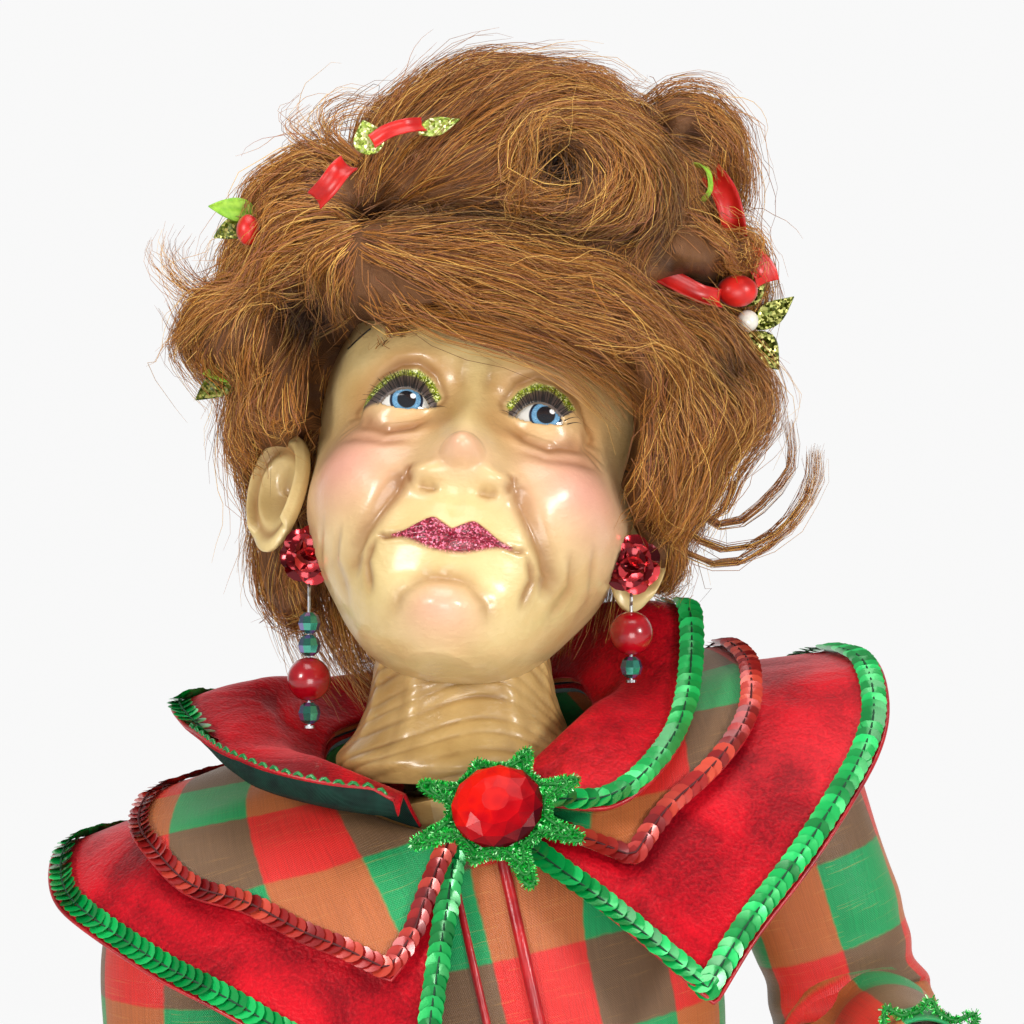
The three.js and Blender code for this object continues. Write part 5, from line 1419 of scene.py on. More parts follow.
NECK_FOOT = np.array([-22.37, 4, 445.54])
NECK_PROFILE = [[0, 32.5], [5, 34.5], [12, 29.5], [20, 26], [30, 24], [42, 22.5], [52, 21.5]]
NECK_ROLL = 4.6
NECK_SIDES = 168
NECK_ROWS = 140
turn = round_steps(NECK_SIDES)
height = np.linspace(0, NECK_PROFILE[-1][0], NECK_ROWS)[:, None]
radius = through(NECK_PROFILE, height[:, 0])
from_front = np.abs((turn + np.pi) % (2 * np.pi) - np.pi)
sag = height + 20 * (1 - np.cos(np.minimum(from_front, 2.2))) - 2.0 * np.sin(3 * turn)
rolls = np.sin(2 * np.pi * sag / NECK_ROLL + 0.9 * np.sin(2.1 * sag / NECK_ROLL))
cords = bell(np.minimum(np.abs(from_front - 0.55), np.abs(from_front - 1.15)), 0.1)
creased = np.clip(-rolls, 0, 1) ** 3
uneven = 0.55 + 0.45 * np.sin(2.3 * turn + height / 6) * np.sin(5.1 * turn - height / 9)
radius = radius - 0.5 * creased * uneven + 0.1 * rolls + 0.8 * cords * np.clip(height / 20, 0, 1)
neck_points = NECK_FOOT + np.stack(
    [radius * np.sin(turn), -radius * np.cos(turn), np.broadcast_to(height, radius.shape)], -1)
neck = make("resin_neck", *closed_rings(neck_points), neck_skin)
neck_wash = np.clip(0.22 + 0.6 * creased * uneven + 0.2 * bell(cords - 0.3, 0.3), 0, 1)
marked(neck.data, wash=with_ends(neck_wash))
put(neck, "head_unit", "resin", "neck")
refinish(neck_skin, "shoulder_plate")


# Each eye is a glass ball set behind the lids, with a pale blue iris, a dark rim, a pupil and a white glint
# painted on as a highlight.
# Short black lashes are glued along the upper lid, and a thin brow is painted above the doll's right eye.
GAZE = Vector((0.09, -0.99, 0.0)).normalized()
LASH_LENGTH = 6.2
LASH_RADIUS = 0.16
BROW = [(-31, -3, 40.5), (-29, -6, 42.8), (-25.2, -9, 45.5)]

glass_eye, tree, shader = finish("Glass eye", Roughness=0.06, Coat_Weight=1.0, Coat_Roughness=0.03)
spot = add(tree, "ShaderNodeUVMap", {"uv_map": "cloth"}).outputs[0]
away = vector(tree, "LENGTH", i0=spot).outputs["Value"]
axes = add(tree, "ShaderNodeSeparateXYZ", i0=spot)
round_angle = calc(tree, "ARCTAN2", axes.outputs[1], axes.outputs[0])
spoke = add(tree, "ShaderNodeCombineXYZ", i0=calc(tree, "MULTIPLY", round_angle, 7.0),
            i1=calc(tree, "MULTIPLY", away, 0.6))
fibres = add(tree, "ShaderNodeTexNoise", Vector=spoke.outputs[0], Scale=2.4, Detail=3.0)
iris = ramp(tree, fibres.outputs[0], (0.3, paint(72, 124, 166)), (0.55, paint(110, 164, 202)),
            (0.75, paint(168, 204, 226)))
tenth = calc(tree, "MULTIPLY", away, 0.1)
pupil = ramp(tree, tenth, (0.24, 1.0), (0.265, 0.0))
rim = ramp(tree, tenth, (0.37, 0.0), (0.4, 1.0))
white = ramp(tree, tenth, (0.45, 0.0), (0.475, 1.0))
colour = mixed(tree, pupil, iris, paint(26, 28, 34))
colour = mixed(tree, rim, colour, paint(18, 34, 58))
colour = mixed(tree, white, colour, paint(226, 226, 222))
# A white dot painted above the pupil and towards the doll's left: a painted highlight.
from_painted_glint = vector(tree, "DISTANCE", i0=spot, i1=(-1.6, 1.2, 0)).outputs["Value"]
painted_glint = ramp(tree, calc(tree, "MULTIPLY", from_painted_glint, 0.1), (0.065, 1.0), (0.085, 0.0))
colour = mixed(tree, painted_glint, colour, (1, 1, 1, 1))
wire(tree, colour, shader.inputs["Base Color"])


def eyeball(sign):
    """A ball whose poles look along the gaze; its UV map holds millimetres from the pupil's middle."""
    across = np.array(GAZE.cross((0, 0, 1)).normalized())
    above = np.cross(across, GAZE)
    tilt = np.linspace(0.02, np.pi - 0.02, 60)
    turn = round_steps(64)
    flat = np.stack([np.cos(turn), np.sin(turn)], -1)
    around = flat[:, :1] * across + flat[:, 1:] * above
    points = EYE_AT * [sign, 1, 1] + EYE_RADIUS * np.array([
        math.cos(t) * np.array(GAZE) + math.sin(t) * around for t in tilt
    ])
    uv = np.array([EYE_RADIUS * t * flat for t in tilt]).reshape(-1, 2)
    form, faces = closed_rings(of_head(points))
    return form, faces, np.concatenate([uv, [[0, 0], [33, 0]]])


lash_black, tree, shader = finish("Lash fibre", Base_Color=paint(16, 13, 13), Roughness=0.5)


def lash_shape(length):
    """A lash: a thin tapering fibre that curves up along its length, standing on its root."""
    turn = round_steps(4)
    points = []
    for share in np.linspace(0, 1, 5):
        thick = LASH_RADIUS * (1 - 0.8 * share)
        middle = np.array([0.0, 0.55 * length * share**2, length * share * (1 - 0.25 * share)])
        points += [middle + thick * np.array([math.cos(a), math.sin(a), 0]) for a in turn]
    return points, ring_faces(5, 4)


def lashes(sign):
    """Roots along the upper lid's edge, with the directions of the lashes fanned outwards."""
    share = np.concatenate([np.linspace(0.02, 0.98, 22), np.linspace(-0.04, 1.04, 9)])
    x = EYE_CORNERS[0] + share * (EYE_CORNERS[1] - EYE_CORNERS[0])
    arch, upper = lid_edges(share)[:2]
    z = upper + 0.1
    near = np.hypot(x - EYE_AT[0], z - EYE_AT[2])
    y = EYE_AT[1] - np.sqrt(LID_RADIUS**2 - near**2)
    spots = of_head(np.stack([sign * x, y, z], -1))
    outs = np.stack([sign * (share - 0.45) * 2.0, np.full_like(x, -0.5), 0.35 + 0.6 * arch], -1)
    ways = np.tile([-1.0, 0, 0], (len(x), 1))
    return spots, outs @ HEAD_TURN.T, ways @ HEAD_TURN.T


for side, sign in (("left", 1), ("right", -1)):
    form, faces, uv = eyeball(sign)
    made = make(f"glass_eye_{side}", form, faces, glass_eye, uv=uv)
    put(made, "head_unit", "eye", f"eye_{side}")
    made = sew(f"lashes_{side}", *lashes(sign), lash_shape(LASH_LENGTH), lash_black, 0.16, 5)
    put(made, "head_unit", "hair")

brow_path = laid_on(head, HEAD_CENTRE + smooth_line(BROW, 20), 0.6, 0.25)[0]
put(cord_along("painted_brow", brow_path, 0.22, lash_black, 5), "head_unit", "hair")


# The wig is auburn mohair, knotted into a cap that is glued to the head, combed into a swept fringe and
# rolled on top. Its strands follow the comb's strokes over the rolls, and loose ends frizz at the outline.
# Comb strokes as seen from the front: x and height from the head's middle, from root to tip
COMB = [
    [(-31, 80), (-25, 87), (-16, 95), (-5, 105), (5, 113), (16, 118), (29, 116), (41, 109), (48, 99),
     (50, 87), (45, 78), (34, 74), (21, 74)],
    [(-24, 80), (-13, 88), (-5, 96), (3, 105), (12, 111), (24, 112), (36, 105), (43, 96), (44, 86), (37, 78)],
    [(-19, 80), (-5, 83), (5, 84), (9, 91), (14, 99), (23, 103), (32, 98), (36, 90), (33, 80), (24, 77),
     (16, 79)],
    [(15, 86), (16, 92), (23, 95), (29, 90), (24, 83), (18, 84)],
    [(-29, 79), (-13, 79), (3, 80), (13, 82)],
    [(49, 108), (58, 107), (66, 99), (71, 91)],
    [(52, 100), (61, 97), (68, 91)],
    [(58, 83), (65, 79), (70, 71), (72, 64)],
    [(49, 71), (58, 73), (65, 70), (70, 64)],
    [(50, 84), (49, 76), (42, 72)],
    [(-26, 72), (-13, 72), (3, 70), (18, 66), (34, 62), (48, 55), (58, 47), (66, 37), (69, 25)],
    [(-28, 67), (-19, 63), (-5, 59), (10, 55), (26, 51), (42, 46), (54, 38), (61, 25), (62, 11)],
    [(-29, 62), (-23, 54), (-13, 48), (0, 43), (16, 41), (32, 38), (42, 31), (48, 19), (49, 6)],
    [(-29, 56), (-26, 50), (-16, 45), (0, 40), (18, 38), (34, 33), (42, 25), (45, 11)],
    [(58, 54), (70, 52), (76, 43), (78, 30), (75, 17), (70, 3)],
    [(66, 37), (70, 25), (67, 11), (65, -2), (70, -12)],
    [(50, 17), (51, 1), (54, -10), (66, -15)],
    [(-31, 83), (-40, 90), (-48, 88), (-54, 80), (-56, 71)],
    [(-31, 76), (-40, 76), (-49, 74), (-55, 67)],
    [(-30, 70), (-40, 67), (-50, 63), (-58, 55), (-61, 43), (-60, 30), (-57, 17)],
    [(-29, 64), (-33, 56), (-35, 48), (-39, 41), (-44, 30), (-45, 17)],
    [(-53, 59), (-62, 54), (-72, 54), (-79, 58)],
    [(-50, 48), (-55, 41), (-55, 27), (-52, 17)],
    [(-53, -10), (-45, -23), (-36, -39), (-31, -52)],
]
# Hollows in the rolls, also painted darker as shade: x, height, half width, depth
HOLLOWS = [[23, 89, 6.5, 11], [-44, 49, 8, 13], [69, 35, 5, 8], [60, 98, 4, 6]]
# Where the temples, the ears and the trimmings stand clear of hair: x, height, half breadth, half tallness,
# and the y that the hair stays behind
CLEAR = [
    [-35, 31, 10, 16, 12], [-43, 12, 8, 10, 12], [-54, -5, 12, 22, 19], [45, -18, 8, 13, 15],
    [69, 82, 8, 11, 5], [73, 56, 10, 9, 6], [59, 58, 10, 4, 0], [-59, 74, 5, 6, -1],
    [-29, 43, 7, 8, 4], [39, 22, 6, 15, 0],
]
# The parting under the top roll, and the gaps beside it: half width, depth, points
PARTINGS = [
    [3.2, 6, [(-31, 77), (-13, 76.5), (8, 74), (29, 71.5), (46, 71)]],
    [3.0, 5, [(52, 102), (51, 90), (54, 80), (50, 70)]],
    [2.6, 5, [(50, 66), (60, 59), (72, 58)]],
]
# Locks that leave the wig: x, y and height from the head's middle
WISPS = [
    [(51, 4, -8), (61, 4, -15), (69, 4, -17), (77, 4, -14), (85, 4, -8), (91, 4, 0), (94, 4, 7), (94, 4, 14)],
    [(56, 4, -6), (66, 3, -13), (77, 3, -12), (86, 3, -5), (91, 3, 3), (92, 3, 13)],
    [(58, 4, 4), (64, 4, -4), (71, 4, -6), (77, 4, -3), (83, 4, 3), (88, 4, 9), (89, 4, 15), (88, 4, 23)],
    [(66, 4, -4), (70, 5, -2), (72, 5, 3), (75, 5, 8), (79, 5, 13), (83, 5, 18), (85, 5, 22)],
]
# Fuller tufts: at the sides, in the neck, over the fringe and on the crown
TUFTS = [
    [(-58, 0, 50), (-68, -2, 53), (-76, -2, 56), (-81, -2, 62), (-79, -2, 66)],
    [(-62, 0, 44), (-70, -2, 44), (-76, -2, 48), (-80, -2, 56)],
    [(-46, 24, -20), (-43, 24, -32), (-36, 22, -43), (-29, 19, -50)],
    [(-50, 20, -10), (-51, 19, -24), (-47, 18, -36), (-40, 16, -45)],
    [(-40, 22, -12), (-38, 22, -26), (-33, 20, -40), (-27, 17, -50)],
    [(-36, 26, -14), (-34, 25, -30), (-30, 22, -42), (-25, 19, -50)],
    [(-43, 27, -16), (-41, 26, -30), (-35, 23, -42), (-29, 19, -49)],
    [(-32, 28, -18), (-31, 27, -32), (-27, 24, -43), (-22, 21, -49)],
    [(-38, 29, -14), (-37, 28, -30), (-31, 25, -42), (-25, 21, -48)],
    [(-22, -32, 66), (-14, -42, 54), (0, -47, 46), (16, -47, 42), (32, -41, 36), (44, -28, 25)],
    [(-24, -34, 63), (-18, -42, 52), (-6, -47, 45), (10, -48, 41), (28, -43, 35), (42, -30, 23)],
    [(-20, -30, 70), (-8, -42, 58), (6, -46, 49), (22, -45, 44), (38, -36, 36), (48, -22, 25)],
    [(-31, -10, 93), (-39, -8, 100), (-38, -6, 105), (-30, -6, 108), (-24, -8, 106)],
    [(-33, -8, 92), (-43, -6, 97), (-46, -5, 101), (-40, -5, 106)],
]
# Locks that hang in the nape, from under the back roll down to the collar
NAPE = [
    [(x, 8 + 55 * r, 5), (x, 8 + 49 * r, -12), (0.95 * x, 6 + 40 * r, -25), (0.9 * x, 4 + 32 * r, -35),
     (0.85 * x, 4 + 27 * r, -42)]
    for x, r in ((x, math.sqrt(1 - (x / 46) ** 2)) for x in range(-40, 41, 8))
]
LOCKS = 1880
LOCK_LENGTHS = (20, 52)
LOCK_LIFT = 6
LOCK_SPREAD = 3.2
WISP_SPREAD = 1.3
STRANDS_PER_LOCK = 13
LOCK_STEPS = 9
STRAND_RADIUS = 0.1
STRAND_WAVE = 5.0
SHADED_DEPTH = 9
DARKEST = 0.85
WIG_PARTS = 10
comb_random = np.random.default_rng(24)

hair, tree, shader = finish("Mohair", Roughness=0.42, Specular_IOR_Level=0.5)
shade = ramp(tree, mark(tree, "tint"), (0.0, paint(92, 50, 14)), (0.3, paint(154, 94, 32)),
             (0.5, paint(196, 130, 46)), (0.75, paint(152, 90, 62)), (1.0, paint(246, 196, 98)))
# The strands darken towards near black in the hollows and partings, read from the depth mark: painted shade.
wire(tree, mixed(tree, mark(tree, "depth"), shade, paint(30, 15, 8)), shader.inputs["Base Color"])

cap_hair, tree, shader = finish("Mohair cap", Roughness=0.6)
across = add(tree, "ShaderNodeAttribute", {"attribute_name": "across"}).outputs["Vector"]
spot = add(tree, "ShaderNodeTexCoord").outputs["Object"]
sideways = vector(tree, "DOT_PRODUCT", i0=across, i1=spot).outputs["Value"]
streak = add(tree, "ShaderNodeTexNoise", {"noise_dimensions": "1D"}, W=sideways, Scale=900.0, Detail=3.0)
# The cap's browns are darker than the strands' as painted shade under them; the streaks follow the comb.
shade = ramp(tree, streak.outputs[0], (0.35, paint(58, 32, 13)), (0.5, paint(108, 66, 30)),
             (0.65, paint(150, 98, 48)))
# The cap darkens the same way in the hollows and partings: painted shade.
wire(tree, mixed(tree, mark(tree, "depth"), shade, paint(30, 15, 8)), shader.inputs["Base Color"])
wire(tree, bumped(tree, streak.outputs[0], 0.15), shader.inputs["Normal"])

cap = sewn_skin("mohair_cap", "wig", cap_hair, 2.4, 1.4)
skin_points = points_of(cap.data).astype(float) / MM
skin_normals = np.array([v.normal for v in cap.data.vertices])


def hollow_depth(points, normals):
    """How deep the hollows and partings press into the wig's front, in millimetres."""
    x, z = points[:, 0] - HEAD_CENTRE[0], points[:, 2] - HEAD_CENTRE[2]
    depth = np.zeros(len(points))
    for hx, hz, width, most in HOLLOWS:
        depth = np.maximum(depth, most * bell(np.hypot(x - hx, z - hz), width))
    for width, most, path in PARTINGS:
        depth = np.maximum(depth, most * bell(nearest(x, z, path)[0], width))
    return depth * np.clip(0.4 - 1.4 * normals[:, 1], 0, 1)


def kept_clear(points):
    """How far back each point moves to leave the temples, the ears and the trimmings free."""
    x, y, z = (points - HEAD_CENTRE).T
    back = np.zeros(len(points))
    for cx, cz, breadth, tallness, behind in CLEAR:
        inside = np.clip(2.2 - 1.7 * np.hypot((x - cx) / breadth, (z - cz) / tallness), 0, 1)
        back = np.maximum(back, inside * np.maximum(behind - y, 0))
    return back


sunk = hollow_depth(skin_points, skin_normals)
skin_points[:, 1] += np.maximum(sunk, kept_clear(skin_points))
x, y, z = (skin_points - HEAD_CENTRE).T
gathered = (x > 30) * np.clip(2.2 - 1.7 * np.hypot((x - 74) / 24, (z + 2) / 20), 0, 1)
skin_points += gathered[:, None] * np.stack([np.full_like(x, -13), 0 * x, np.clip(-z / 2, 0, 6)], -1)
cap.data.vertices.foreach_set("co", (skin_points * MM).astype(np.float32).ravel())
cap.data.update()
put(cap, "head_unit", "hair", "wig")

cap_surface = BVHTree.FromPolygons(skin_points.tolist(), [f.vertices for f in cap.data.polygons])
stroke_at = np.concatenate([(np.array(s[1:]) + np.array(s[:-1])) / 2 for s in COMB])
stroke_way = unit(np.concatenate([np.diff(np.array(s, float), axis=0) for s in COMB]))


def combed(place, normal, before):
    """The direction that the comb leaves at a place: its strokes at the front, waved and down at the back."""
    gap = np.sum((stroke_at - (place - HEAD_CENTRE)[[0, 2]]) ** 2, axis=1)
    front = (stroke_way / (gap + 4)[:, None] ** 2).sum(0)
    front /= np.linalg.norm(front) + 1e-9
    back = np.array([0.35 * math.sin(place[2] / 11 + place[0] / 17), 0.3, -1.0])
    share = np.clip((normal[1] + 0.1) / 0.6, 0, 1)
    way = (1 - share) * np.array([front[0], 0, front[1]]) + share * back
    way -= normal * np.dot(way, normal)
    if before is not None:
        way = way / (np.linalg.norm(way) + 1e-9) + 0.7 * before
    length = np.linalg.norm(way)
    return way / length if length > 0.05 else before


def lock_from(place, reach, lift, skew):
    """A lock's middle line: laid on the cap at its root and standing off it by the lift at its tip."""
    line, way = [], None
    for k in range(LOCK_STEPS):
        spot, normal = cap_surface.find_nearest(Vector(place))[:2]
        normal = np.array(normal)
        way = combed(np.array(spot), normal, way)
        if way is None:
            return None
        strayed = math.cos(skew) * way + math.sin(skew) * np.cross(normal, way)
        share = k / (LOCK_STEPS - 1)
        line.append(np.array(spot) + normal * (0.5 + lift * share**1.6 + 1.2 * math.sin(math.pi * share)))
        place = np.array(spot) + strayed * reach / (LOCK_STEPS - 1)
    return np.array(line)


strokes = [(combed(place, normal, None), normal) for place, normal in zip(skin_points, skin_normals)]
across = [[1, 0, 0] if way is None else np.cross(way, normal) for way, normal in strokes]
marked(cap.data, "FLOAT_VECTOR", across=across)
# The depth mark, how deep each point lies in a hollow or parting, paints shade on the cap.
marked(cap.data, depth=np.clip(sunk / SHADED_DEPTH, 0, DARKEST))


def clear_part(line):
    """The lock as far as it leaves those places free, or None where too little of it is left."""
    free = kept_clear(line) < 9
    if free.all():
        return line
    end = int(np.argmin(free))
    return smooth_line(line[:end], LOCK_STEPS) if end > 3 else None


def beside(paths, copies, apart):
    """Copies of each path, each a little apart from it and more so at its tip."""
    lines = []
    for path in [path for path in paths for _ in range(copies)]:
        jitter = comb_random.normal(0, apart, (1, 3)) * np.linspace(0.5, 1.6, len(path))[:, None]
        lines.append(smooth_line(np.array(path) + jitter, LOCK_STEPS) + HEAD_CENTRE)
    return lines


def grow_locks():
    """Locks from roots spread over the outside of the wig, closer at the parting; then tufts and the nape."""
    areas = np.array([f.area for f in cap.data.polygons])
    centres = np.array([f.center for f in cap.data.polygons]) / MM
    normals = np.array([f.normal for f in cap.data.polygons])
    out = np.sum(normals * (centres - HEAD_CENTRE - [0, 12, 25]), axis=1)
    low = (centres[:, 2] < HEAD_CENTRE[2] - 8) & (normals[:, 1] < -0.2)
    areas[(out < 0) | low] = 0
    by_parting = bell(np.hypot(centres[:, 0] - HEAD_CENTRE[0] + 34, centres[:, 2] - HEAD_CENTRE[2] - 60), 22)
    weight = areas * np.where(normals[:, 1] < 0.2, 1.0 + 3.5 * by_parting, 0.6)
    lines = []
    for face in comb_random.choice(len(areas), LOCKS, p=weight / weight.sum()):
        line = lock_from(centres[face], comb_random.uniform(*LOCK_LENGTHS),
                         comb_random.uniform(0, 1) ** 3 * LOCK_LIFT, comb_random.normal(0, 0.2))
        if line is not None:
            line = clear_part(line)
        if line is not None:
            lines.append(line)
    return lines + beside(TUFTS, 5, 2.2) + beside(NAPE, 8, 2.4)


def strand_tree():
    """Geometry Nodes: each lock's line becomes many strands, spread, waved and frizzed, as tapering tubes."""
    tree, inside, outside = growth("Strands", Finish="Material", Strands="Int", Radius="Float",
                                   Spread="Float", Wave="Float", Seed="Int")
    lines = add(tree, "GeometryNodeMeshToCurve", i0=inside.outputs[0])
    many = add(tree, "GeometryNodeDuplicateElements", {"domain": "SPLINE"}, i0=lines,
               Amount=inside.outputs["Strands"])
    strand = add(tree, "GeometryNodeFieldOnDomain", {"domain": "CURVE", "data_type": "INT"},
                 i0=add(tree, "GeometryNodeInputIndex"))
    share = add(tree, "GeometryNodeSplineParameter").outputs["Factor"]
    side = add(tree, "FunctionNodeRandomValue", {"data_type": "FLOAT_VECTOR"}, i0=(-1, -1, -1), i1=(1, 1, 1),
               ID=strand, Seed=inside.outputs["Seed"])
    loose = add(tree, "FunctionNodeRandomValue", {"data_type": "FLOAT"}, ID=strand, Seed=7)
    flyaway = calc(tree, "MULTIPLY", calc(tree, "POWER", loose.outputs[1], 9.0), 2.2)
    widen = calc(tree, "ADD", 0.62, calc(tree, "MULTIPLY", share, 0.75))
    apart = calc(tree, "MULTIPLY", inside.outputs["Spread"],
                 calc(tree, "MULTIPLY", widen, calc(tree, "ADD", flyaway, 0.8)))
    offset = vector(tree, "SCALE", i0=side.outputs[0], Scale=apart)
    place = add(tree, "GeometryNodeInputPosition")
    shifted = vector(tree, "ADD", i0=place, i1=vector(tree, "SCALE", i0=side.outputs[0], Scale=0.012))
    frizz = add(tree, "ShaderNodeTexNoise", Vector=shifted, Scale=58.0, Detail=1.5)
    centred = vector(tree, "SUBTRACT", i0=frizz.outputs["Color"], i1=(0.5, 0.5, 0.5))
    wave = calc(tree, "MULTIPLY", inside.outputs["Wave"], calc(tree, "ADD", share, flyaway))
    waved = vector(tree, "SCALE", i0=centred, Scale=wave)
    moved = add(tree, "GeometryNodeSetPosition", Geometry=many,
                Offset=vector(tree, "ADD", i0=offset, i1=waved))
    tint = add(tree, "FunctionNodeRandomValue", {"data_type": "FLOAT"}, ID=strand, Seed=3)
    marked = add(tree, "GeometryNodeStoreNamedAttribute", {"data_type": "FLOAT", "domain": "CURVE"},
                 Geometry=moved, Name="tint", Value=tint.outputs[1])
    section = add(tree, "GeometryNodeCurvePrimitiveCircle", Resolution=3, Radius=inside.outputs["Radius"])
    thin = calc(tree, "SUBTRACT", 1.1, calc(tree, "MULTIPLY", calc(tree, "POWER", share, 2.0), 0.8))
    tubes = add(tree, "GeometryNodeCurveToMesh", i0=marked, i1=section, Scale=thin)
    smooth = add(tree, "GeometryNodeSetShadeSmooth", i0=tubes)
    solid = add(tree, "GeometryNodeRealizeInstances", Geometry=smooth)
    wire(tree, add(tree, "GeometryNodeSetMaterial", Geometry=solid, Material=inside.outputs["Finish"]),
         outside.inputs[0])
    return tree


strands = strand_tree()
locks = grow_locks()
comb_random.shuffle(locks)
bundles = [(locks[part::WIG_PARTS], LOCK_SPREAD) for part in range(WIG_PARTS)]
bundles += [(beside(WISPS, 3, 0.9), WISP_SPREAD)]
for number, (lines, spread) in enumerate(bundles, 1):
    flat = np.concatenate(lines)
    mesh = bpy.data.meshes.new(f"wig_{number}")
    links = [(k, k + 1) for k in range(len(flat) - 1) if (k + 1) % LOCK_STEPS]
    mesh.from_pydata((flat * MM).tolist(), links, [])
    # The same depth mark paints shade on the strands in the hollows and partings.
    depth = hollow_depth(flat, np.tile([0, -1, 0], (len(flat), 1)))
    marked(mesh, depth=np.clip(depth / SHADED_DEPTH, 0, DARKEST))
    made = grown(f"mohair_{number}", strands, placed(mesh.name, mesh), hair, Strands=STRANDS_PER_LOCK,
                 Radius=STRAND_RADIUS * MM, Spread=spread * MM, Wave=STRAND_WAVE * MM, Seed=number)
    put(made, "head_unit", "hair")


# Small trimmings are pinned and glued in the wig: glitter leaves, a red bud, a pearl berry and satin ribbon.
# Each leaf is stamped from stiff cloth with a crease down its middle; each ribbon is a short folded length.
LEAF_GRID = (15, 9)
LEAF_CLOTH = 0.35
RIBBON_GRID = (28, 7)
RIBBON_CLOTH = 0.4

leaf_fresh, tree, shader = finish("Fresh leaf", Roughness=0.5)
coloured(tree, shader, noise(tree, 500.0, 3.0), (0.3, paint(104, 160, 22)), (0.7, paint(160, 206, 60)))


def glitter_cloth(name, deep, middle, painted_glint_colour):
    material, tree, shader = finish(name, Roughness=0.34, Metallic=0.35)
    grains = glittered(tree, 1500.0)
    # The brightest grains take the near-white colour: painted glints.
    coloured(tree, shader, grains.outputs["Spark"], (0.1, deep), (0.6, middle), (0.95, painted_glint_colour))
    wire(tree, grains.outputs["Normal"], shader.inputs["Normal"])
    return material


leaf_olive = glitter_cloth("Olive glitter", paint(44, 54, 8), paint(104, 116, 24), paint(222, 220, 130))
leaf_pale = glitter_cloth("Pale glitter", paint(118, 138, 40), paint(176, 196, 84), paint(244, 248, 190))
ribbon_red, tree, shader = finish("Red ribbon", Roughness=0.36, Sheen_Weight=0.2, Sheen_Roughness=0.3)
coloured(tree, shader, noise(tree, 180.0, 2.0), (0.3, paint(176, 14, 12)), (0.7, paint(224, 40, 32)))


def beside_head(points):
    return HEAD_CENTRE + np.asarray(points, float)


def leaf(name, foot, tip, half, material, face=(0, -1, 0.2), bow=1.6):
    """A pointed leaf from its foot to its tip, creased down the middle and bowed back at its end."""
    foot, tip, face = (np.asarray(v, float) for v in (foot, tip, face))
    length = np.linalg.norm(tip - foot)
    way = (tip - foot) / length
    face = unit(face - way * (face @ way))
    side = np.cross(way, face)
    points = []
    for share in np.linspace(0, 1, LEAF_GRID[0]):
        width = half * math.sin(math.pi * min(1.0, 0.05 + 0.95 * share) ** 0.8)
        for across in np.linspace(-1, 1, LEAF_GRID[1]):
            crease = 0.28 * width * abs(across) + bow * share**2
            wave = 0.12 * half * across * abs(across) * math.sin(9 * share)
            rise = crease - bow * 0.4 + wave
            points.append(foot + way * length * share + side * width * across + face * rise)
    made = make(name, beside_head(points), grid_faces(*LEAF_GRID), material)
    thickened(made, LEAF_CLOTH)
    return made


def ribbon(name, middle, width, face, material=ribbon_red):
    """A flat ribbon along a smooth line, its flat side towards the face direction."""
    line = smooth_line(middle, RIBBON_GRID[0])
    ways = ways_along(line)
    side = unit(np.cross(ways, np.asarray(face, float)))
    out = np.cross(side, ways)
    across = np.linspace(-1, 1, RIBBON_GRID[1])
    cup = 0.22 * width * across**2
    points = line[:, None] + side[:, None] * across[:, None] * width / 2 + out[:, None] * cup[:, None]
    made = make(name, beside_head(points.reshape(-1, 3)), grid_faces(*RIBBON_GRID), material)
    thickened(made, RIBBON_CLOTH)
    return made


def ball(name, middle, radii, material, sides=32):
    """A berry, bud or knot: an egg with its own half size along each axis; few sides give it folds."""
    tilt = np.linspace(0.08, np.pi - 0.08, 18)[:, None]
    turn = round_steps(sides)
    form = [np.sin(tilt) * np.cos(turn), np.sin(tilt) * np.sin(turn), np.cos(tilt) + 0 * turn]
    rings = np.asarray(radii) * np.stack(form, -1) + np.asarray(middle, float)
    return make(name, *closed_rings(beside_head(rings)), material)


pearl_white, tree, shader = finish("White pearl", Base_Color=paint(232, 228, 216), Roughness=0.25,
                                   Coat_Weight=0.6)
